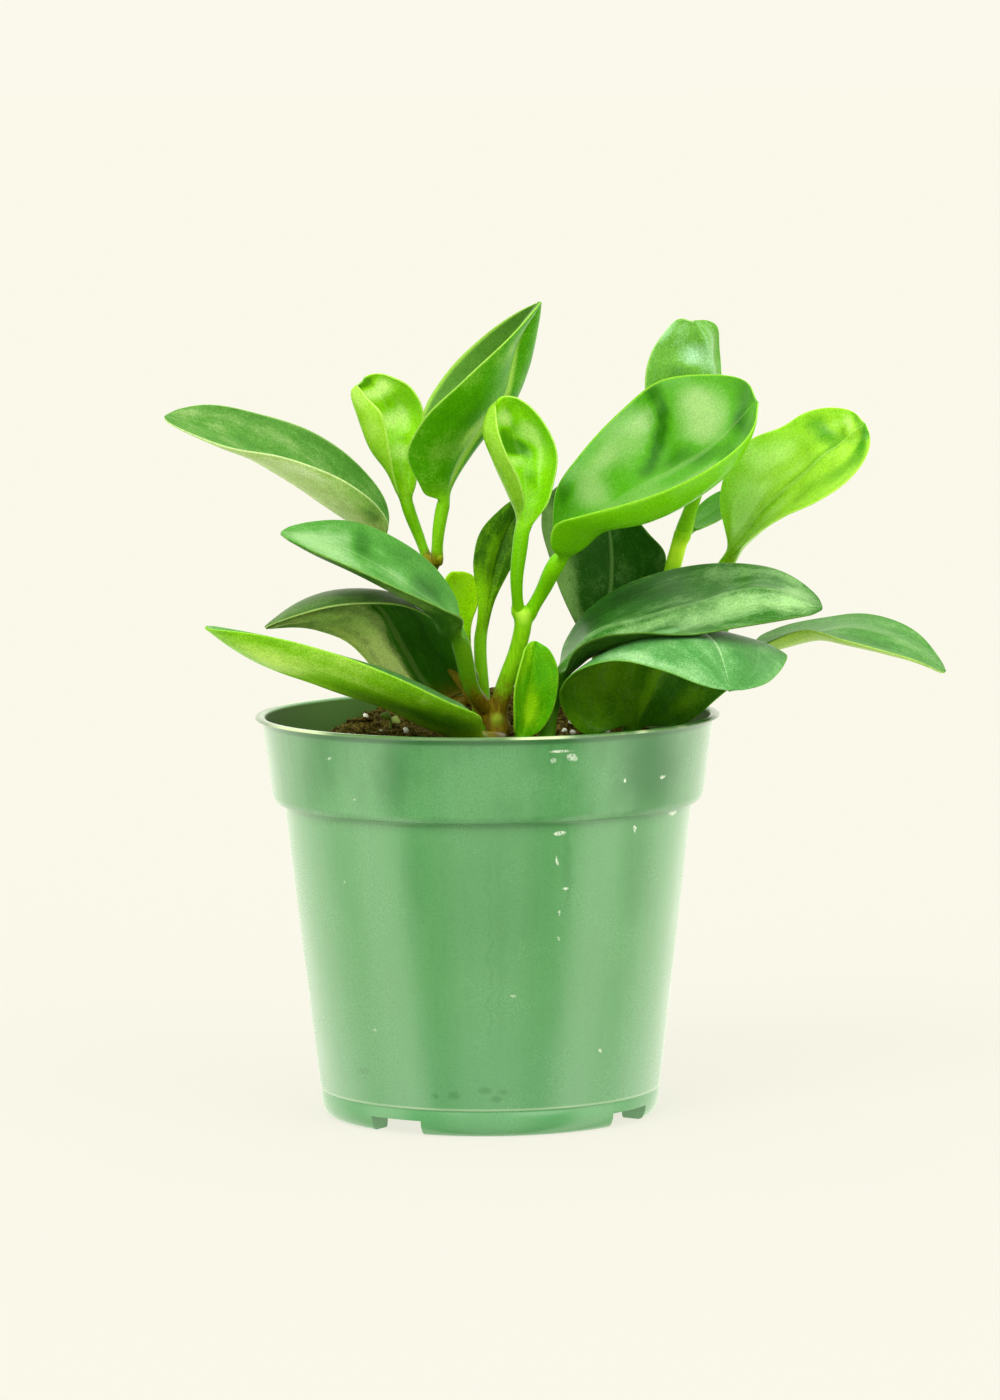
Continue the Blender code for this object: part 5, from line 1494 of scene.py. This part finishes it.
def tube(name, points, radii, sections, sides, flatten=None):
    """Closed tube along a smooth curve through the points, with its radius given at each of them."""
    where = np.linspace(0, 1, sections)
    centres = curve_through(points, where)
    around = np.interp(where, chord_parameter(np.array(points, float)), radii)
    tangents = unit(np.gradient(centres, axis=0))
    angles = 2 * np.pi * np.arange(sides) / sides
    side = np.array([1.0, 0, 0])
    rings = []
    for centre, tangent, radius in zip(centres, tangents, around):
        side = unit(side - tangent * (side @ tangent))
        rings.append(circle(centre, side, np.cross(tangent, side), radius, angles))
    rings = np.array(rings)
    if flatten:
        middles = rings.mean(axis=1, keepdims=True)
        rings = middles + (rings - middles) * flatten
    return rolled_sheet(name, rings, {})


def pot_profile():
    """The pot's half section, from its floor up the inside, over the lip and down the outside."""
    pot = settings().pot
    wall = pot.wall / MM
    rim, top = pot.rim_radius / MM, pot.height / MM
    lip_foot = top - LIP_THICKNESS
    foot_inside = FOOT_RADIUS - FOOT_RING_WIDTH
    return (
        (GROOVE_RADIUS - wall - 1.2, FLOOR_TOP),
        (GROOVE_RADIUS - wall - 0.35, FLOOR_TOP + 0.35),
        (GROOVE_RADIUS - wall, FLOOR_TOP + 1.2),
        (BODY_TOP_RADIUS - wall, BODY_TOP),
        (BAND_FOOT_RADIUS - wall - 0.3, BAND_FOOT - 0.2),
        (BAND_FOOT_RADIUS - wall, BAND_FOOT + 0.5),
        (BAND_TOP_RADIUS - wall, lip_foot),
        (BAND_TOP_RADIUS - wall + 0.35, top - 0.25),
        (BAND_TOP_RADIUS - wall + 0.9, top),
        (rim - 0.4, top - 0.02),
        (rim - 0.08, top - 0.2),
        (rim, top - 0.5),
        (rim - 0.1, lip_foot + 0.15),
        (rim - 0.4, lip_foot),
        (BAND_TOP_RADIUS + 0.35, lip_foot - 0.12),
        (BAND_TOP_RADIUS, lip_foot - 0.6),
        (BAND_FOOT_RADIUS + 0.12, BAND_FOOT + 0.6),
        (BAND_FOOT_RADIUS - 0.12, BAND_FOOT - 0.1),
        (BAND_FOOT_RADIUS - 0.7, STEP_HEIGHT + 0.25),
        (BAND_FOOT_RADIUS - 1.4, STEP_HEIGHT),
        (BODY_TOP_RADIUS + 0.35, STEP_HEIGHT - 0.15),
        (BODY_TOP_RADIUS, BODY_TOP),
        (GROOVE_RADIUS + 0.04, GROOVE_HEIGHT + 0.5),
        (GROOVE_RADIUS - GROOVE_DEPTH, GROOVE_HEIGHT + 0.1),
        (GROOVE_RADIUS - GROOVE_DEPTH, GROOVE_HEIGHT - 0.2),
        (GROOVE_RADIUS - 0.1, GROOVE_HEIGHT - 0.6),
        (FOOT_RADIUS + 1.6, 2.2),
        (FOOT_RADIUS + 1.1, 0.9),
        (FOOT_RADIUS + 0.5, 0.25),
        (FOOT_RADIUS - 0.2, 0.0),
        (foot_inside + 0.3, 0.0),
        (foot_inside, 0.3),
        (foot_inside - 0.3, FLOOR_UNDERSIDE - 0.3),
        (foot_inside - 0.8, FLOOR_UNDERSIDE),
    )


def cutting_block(name, radius, depth, width, low, high, direction):
    """Block across a radius of the pot; direction turns right from the front."""
    turn = math.radians(direction)
    centre = in_place((radius * math.sin(turn), -radius * math.cos(turn), (low + high) / 2))
    return new_piece(
        bpy.ops.mesh.primitive_cube_add, name, size=1, location=centre, rotation=(0, 0, turn),
        scale=(width * MM, depth * MM, (high - low) * MM),
    )


class PLANT_OT_pot(bpy.types.Operator):
    """Turns the thin-walled nursery pot and cuts its drainage notches and slots"""

    bl_idname = "plant.pot"
    bl_label = "Pot"

    def execute(self, context):
        profile = pot_profile()
        radius, height = profile[0]
        pot = new_piece(
            bpy.ops.mesh.primitive_circle_add, "nursery_pot", vertices=POT_SIDES, radius=radius * MM,
            fill_type="NGON", location=in_place((0, 0, height)),
        )
        bpy.ops.object.mode_set(mode="EDIT")
        bpy.ops.mesh.select_mode(type="EDGE")
        bpy.ops.mesh.select_all(action="SELECT")
        for next_radius, next_height in profile[1:]:
            rise = (next_height - height) * MM
            bpy.ops.mesh.extrude_edges_move(TRANSFORM_OT_translate={"value": (0, 0, rise)})
            scale = next_radius / radius
            centre = tuple(in_place((0, 0, next_height)))
            bpy.ops.transform.resize(value=(scale, scale, 1), center_override=centre)
            radius, height = next_radius, next_height
        bpy.ops.mesh.edge_face_add()
        bpy.ops.mesh.select_all(action="SELECT")
        bpy.ops.mesh.normals_make_consistent(inside=False)
        bpy.ops.object.mode_set(mode="OBJECT")
        bpy.ops.object.transform_apply(location=True, rotation=True, scale=True)
        self.cut_foot(pot)
        make_active(pot)
        bpy.ops.object.shade_smooth_by_angle(angle=SHARP_ANGLE)
        finish_piece(pot, pot_skin(), ["pot"])
        return {"FINISHED"}

    def cut_foot(self, pot):
        blocks = []
        notch_width = 2 * FOOT_RADIUS * math.sin(math.radians(NOTCH_ANGLE / 2))
        for i, direction in enumerate(NOTCH_DIRECTIONS):
            blocks.append(cutting_block(
                f"notch_{i}", FOOT_RADIUS, NOTCH_DEPTH, notch_width, -CUT_BELOW, FLOOR_UNDERSIDE, direction,
            ))
            blocks.append(cutting_block(
                f"drain_{i}", DRAIN_RADIUS, DRAIN_DEPTH, DRAIN_WIDTH, -DRAIN_BELOW, FLOOR_TOP + DRAIN_ABOVE,
                direction + DRAIN_TURN,
            ))
        cutter = join(blocks)
        modify(pot, "BOOLEAN", object=cutter, operation="DIFFERENCE", solver="EXACT")
        bpy.data.objects.remove(cutter)


def shaped_grain(name, subdivisions, roughness, squash, seed):
    """One lumpy grain of unit size, modelled from an icosphere, as points and faces."""
    grain = new_piece(bpy.ops.mesh.primitive_ico_sphere_add, name, subdivisions=subdivisions, radius=1)
    for vertex in grain.data.vertices:
        offset = noise.noise(vertex.co * GRAIN_LUMPS + Vector((seed * GRAINS_APART, 0, 0)))
        vertex.co *= 1 + roughness * offset
        vertex.co.z *= squash
    points = np.array([vertex.co for vertex in grain.data.vertices])
    faces = [tuple(face.vertices) for face in grain.data.polygons]
    bpy.data.objects.remove(grain)
    return points, faces


def scatter(name, grain, count, sizes, rise, seed, places=()):
    """Copies of a grain over the soil, each turned and sized by itself, as one piece."""
    points, faces = grain
    draws = np.random.default_rng(seed)
    edge = inner_radius(SOIL_FRONT) - GRAIN_WALL_GAP
    spots = list(places)
    for _ in range(count):
        radius = edge * math.sqrt(draws.random())
        turn = 2 * math.pi * draws.random()
        spots.append((radius * math.cos(turn), radius * math.sin(turn), None))
    smallest, largest = sizes
    all_points, all_faces = [], []
    for i, (x, y, size) in enumerate(spots):
        size = size or smallest + (largest - smallest) * draws.random() ** GRAIN_SIZE_POWER
        turned = Matrix.Rotation(draws.random() * FULL_TURN, 3, "Z")
        turned = turned @ Matrix.Rotation(draws.random() * FULL_TURN, 3, "X")
        longer = 1 + GRAIN_LENGTHENING * draws.random()
        flatter = 1 - GRAIN_FLATTENING + GRAIN_FLATTENING * draws.random()
        stretch = np.array([longer, 1, flatter])
        shape = (points * stretch * size) @ np.array(turned).T
        height = soil_height(x, y, math.hypot(x, y)) + size * rise
        all_points.append(in_place(shape + (x, y, height)))
        all_faces += [tuple(v + i * len(points) for v in face) for face in faces]
    mesh = bpy.data.meshes.new(name)
    mesh.from_pydata(np.concatenate(all_points).tolist(), [], all_faces)
    piece = bpy.data.objects.new(name, mesh)
    bpy.context.scene.collection.objects.link(piece)
    make_active(piece)
    bpy.ops.object.shade_smooth()
    return piece


class PLANT_OT_soil(bpy.types.Operator):
    """Fills the pot with crumbly peat, and strews crumbs and white perlite over it"""

    bl_idname = "plant.soil"
    bl_label = "Soil"

    def execute(self, context):
        soil = settings().soil
        skin = soil_skin()
        finish_piece(self.body(), skin, ["soil"])
        crumb = shaped_grain("crumb", subdivisions=1, roughness=0.8, squash=0.8, seed=1)
        crumbs = scatter("soil_crumbs", crumb, soil.crumbs, CRUMB_SIZES, CRUMB_RISE, seed=5)
        finish_piece(crumbs, skin, None)
        white = shaped_grain("white_grain", subdivisions=2, roughness=0.35, squash=0.9, seed=2)
        grains = scatter(
            "perlite_grains", white, soil.perlite, PERLITE_SIZES, PERLITE_RISE, seed=9, places=PERLITE_SPOTS,
        )
        finish_piece(grains, perlite_skin(), None)
        finish_piece(self.sprout(), sprout_skin(), None)
        return {"FINISHED"}

    def body(self):
        angles = 2 * np.pi * np.arange(SOIL_SIDES) / SOIL_SIDES
        rings = []
        for height in (FLOOR_TOP + 0.3, FLOOR_TOP + 2, BODY_TOP - 1, BAND_FOOT + 1):
            gap = SOIL_FLOOR_GAP if height < FLOOR_TOP + 1 else SOIL_WALL_GAP
            radius = inner_radius(height) - gap
            rings.append([(radius * math.cos(a), radius * math.sin(a), height) for a in angles])
        edge = inner_radius(SOIL_FRONT) - SOIL_WALL_GAP
        for share in np.linspace(1, SOIL_CENTRE, SOIL_RINGS):
            radius = edge * share
            places = [(radius * math.cos(a), radius * math.sin(a)) for a in angles]
            rings.append([(x, y, soil_height(x, y, radius)) for x, y in places])
        return rolled_sheet("soil_body", np.array(rings), {})

    def sprout(self):
        """A seedling that has just come up: two seed leaves on a short stalk."""
        foot = np.array([*SPROUT, soil_height(*SPROUT, math.hypot(*SPROUT))])
        parts = [tube("seedling_stalk", foot + SPROUT_STALK, SPROUT_STALK_RADII, *SPROUT_STALK_MESH)]
        for side, line in SEED_LEAVES.items():
            name = "seed_leaf_" + side
            parts.append(tube(name, foot + line, SEED_LEAF_RADII, *SEED_LEAF_MESH, SEED_LEAF_FLATNESS))
        return join(parts)


def stub(name, leaf, stem_line):
    """The stem's own growth into the foot of a petiole, so that the two run into one another."""
    petiole = np.array(leaf["petiole"], float)
    nearest = stem_line[np.argmin(np.linalg.norm(stem_line - petiole[0], axis=1))]
    points = np.vstack([nearest, petiole[0], curve_through(petiole, np.array(STUB_REACH))])
    return tube(name, points, np.array(STUB_WIDTHS) * leaf["radii"][0], *STUB_MESH)


class PLANT_OT_stems(bpy.types.Operator):
    """Grows the forked stem and the single one, with swollen joints where leaves leave them"""

    bl_idname = "plant.stems"
    bl_label = "Stems"

    def execute(self, context):
        skin = stem_skin()
        arms = {
            "stem_forked": (
                (STEM_FORKED_RIGHT, STEM_FORKED_RIGHT_RADII), (STEM_FORKED_LEFT, STEM_FORKED_LEFT_RADII),
            ),
            "stem_right": ((STEM_RIGHT, STEM_RIGHT_RADII),),
        }
        for node, lines in arms.items():
            parts = [
                tube(f"{node}_arm_{i}", points, radii, *ARM_MESH) for i, (points, radii) in enumerate(lines)
            ]
            where = np.linspace(0, 1, CENTRE_LINE_POINTS)
            centre_lines = np.vstack([curve_through(points, where) for points, radii in lines])
            for name in GROWS_ON[node]:
                parts.append(stub(name + "_stub", LEAVES[name], centre_lines))
            for i, (place, radius) in enumerate(NODES[node]):
                parts.append(new_piece(
                    bpy.ops.mesh.primitive_uv_sphere_add, f"{node}_joint_{i}", **JOINT_MESH,
                    radius=radius * MM, location=in_place(place),
                ))
            stem = join(parts)
            stem.name = node.replace("stem", "grown_stem")
            modify(stem, "REMESH", mode="VOXEL", voxel_size=STEM_VOXEL, use_smooth_shade=True)
            modify(stem, "SMOOTH", **STEM_SMOOTHING)
            finish_piece(stem, skin, [node])
        return {"FINISHED"}


class PLANT_OT_leaves(bpy.types.Operator):
    """Grows all twenty leaves, each with its own waves, colours and gloss"""

    bl_idname = "plant.leaves"
    bl_label = "Leaves"

    def execute(self, context):
        levels = 1
        for seed, name in enumerate(LEAVES):
            rings, values = blade_shape(name, seed)
            leaf = rolled_sheet(name.replace("leaf", "blade"), rings, values)
            modify(leaf, "SUBSURF", levels=levels, render_levels=levels)
            finish_piece(leaf, leaf_skin(name, seed), [name])
        return {"FINISHED"}


class PLANT_OT_stage(bpy.types.Operator):
    """Sets the pale floor, the soft light around it and the camera"""

    bl_idname = "plant.stage"
    bl_label = "Stage"

    def execute(self, context):
        stage = settings().stage
        context.scene.view_settings.view_transform = "Standard"
        self.lay_floor(stage)
        context.scene.world = self.studio(stage)
        self.sun(context, "key_light", stage.key, **KEY_LIGHT)
        self.sun(context, "fill_light", stage.fill, **FILL_LIGHT)
        self.aim_camera(context)
        return {"FINISHED"}

    def lay_floor(self, stage):
        nodes = Nodes("pale_floor")
        for name, value in {
            "Base Color": tuple(FLOOR_ALBEDO * c for c in stage.backdrop),
            "Roughness": 1.0,
            "Specular IOR Level": 0.0,
            "Emission Color": tuple(stage.backdrop),
            "Emission Strength": FLOOR_GLOW,
        }.items():
            nodes.put(nodes.shader.inputs[name], value)
        floor = new_piece(
            bpy.ops.mesh.primitive_circle_add, "floor", vertices=FLOOR_SIDES, radius=FLOOR_SIZE,
            fill_type="NGON", location=(0, 0, -FLOOR_DROP),
        )
        floor.data.materials.append(nodes.material)
        floor.visible_diffuse = False
        floor.visible_glossy = False
        floor.visible_shadow = False

    def sun(self, context, name, strength, azimuth, elevation, width):
        """Soft light from a direction, with the width that it has in the sky, in degrees."""
        turn = math.radians(azimuth)
        rise = math.radians(elevation)
        to_light = Vector((
            math.sin(turn) * math.cos(rise), -math.cos(turn) * math.cos(rise), math.sin(rise),
        ))
        deselect()
        bpy.ops.object.light_add(
            type="SUN", location=to_light, rotation=to_light.to_track_quat("Z", "Y").to_euler(),
        )
        light = context.object
        light.name = name
        light.data.energy = strength
        light.data.angle = math.radians(width)

    def studio(self, stage):
        """Bright behind and above, with a bright screen at each side and a dim room in front."""
        world = bpy.data.worlds.new("studio")
        world.use_nodes = True
        tree = world.node_tree
        background = tree.nodes["Background"]
        background.inputs["Color"].default_value = (*stage.backdrop, 1)

        def put(kind, inputs, output=0, **values):
            node = tree.nodes.new("ShaderNode" + kind)
            for name, value in values.items():
                setattr(node, name, value)
            for key, value in inputs.items():
                if isinstance(value, bpy.types.NodeSocket):
                    tree.links.new(value, node.inputs[key])
                else:
                    node.inputs[key].default_value = value
            return node.outputs[output]

        direction = put("TexCoord", {}, output="Generated")
        x, y, z = (put("SeparateXYZ", {0: direction}, i) for i in range(3))
        to_side = put("Math", {0: x}, operation="ABSOLUTE")
        to_front = put("Math", {0: y, 1: -1.0}, operation="MULTIPLY")
        turn = put("Math", {0: to_side, 1: to_front}, operation="ARCTAN2")
        share = put("Math", {0: turn, 1: math.pi}, operation="DIVIDE")
        ramp = tree.nodes.new("ShaderNodeValToRGB")
        tree.links.new(share, ramp.inputs[0])
        stops = ramp.color_ramp.elements
        for degrees, level in ROOM_BRIGHTNESS[1:-1]:
            stops.new(degrees / 180)
        for stop, (degrees, level) in zip(stops, ROOM_BRIGHTNESS):
            stop.position = degrees / 180
            stop.color = (level, level, level, 1)
        overhead = put("MapRange", {"Value": z, "From Min": OVERHEAD_FROM, "From Max": OVERHEAD_TO})
        seen = put("Mix", {0: overhead, 2: ramp.outputs[0], 3: OVERHEAD_BRIGHTNESS})
        seen = put("Math", {0: seen, 1: ROOM_SCALE}, operation="MULTIPLY")
        path = tree.nodes.new("ShaderNodeLightPath")
        level = put("Mix", {0: path.outputs["Is Camera Ray"], 2: seen, 3: 1.0})
        level = put("Math", {0: level, 1: stage.surround}, operation="MULTIPLY")
        tree.links.new(level, background.inputs["Strength"])
        return world

    def aim_camera(self, context):
        back = Vector((0, -math.cos(VIEW_ELEVATION), math.sin(VIEW_ELEVATION)))
        target = Vector(in_place(VIEW_TARGET))
        turn = (-back).to_track_quat("-Z", "Y") @ Matrix.Rotation(-VIEW_ROLL, 4, "Z").to_quaternion()
        deselect()
        bpy.ops.object.camera_add(location=target + back * VIEW_DISTANCE * MM, rotation=turn.to_euler())
        camera = context.object
        camera.name = "photograph_view"
        camera.data.sensor_fit = "VERTICAL"
        camera.data.sensor_height = SENSOR
        camera.data.lens = LENS
        camera.data.shift_x, camera.data.shift_y = SHIFT
        context.scene.camera = camera


class VIEW3D_PT_potted_plant(bpy.types.Panel):
    bl_label = "Potted baby rubber plant"
    bl_space_type = "VIEW_3D"
    bl_region_type = "UI"
    bl_category = "Plant"

    def draw(self, context):
        plant = context.scene.potted_plant
        for operator, group in (
            ("plant.pot", plant.pot), ("plant.soil", plant.soil), ("plant.stems", plant.stems),
            ("plant.leaves", plant.leaves), ("plant.stage", plant.stage),
        ):
            box = self.layout.box()
            box.operator(operator)
            for name in group.__annotations__:
                box.prop(group, name)


CLASSES = (
    PotSettings, SoilSettings, StemSettings, LeafSettings, StageSettings, PlantSettings,
    PLANT_OT_pot, PLANT_OT_soil, PLANT_OT_stems, PLANT_OT_leaves, PLANT_OT_stage,
    VIEW3D_PT_potted_plant,
)


def register():
    for kind in CLASSES:
        bpy.utils.register_class(kind)
    bpy.types.Scene.potted_plant = PointerProperty(type=PlantSettings)


def unregister():
    del bpy.types.Scene.potted_plant
    for kind in reversed(CLASSES):
        bpy.utils.unregister_class(kind)


def main():
    register()
    bpy.ops.plant.stage()
    bpy.ops.plant.pot()
    bpy.ops.plant.soil()
    bpy.ops.plant.stems()
    bpy.ops.plant.leaves()
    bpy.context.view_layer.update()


if __name__ == "__main__":
    main()
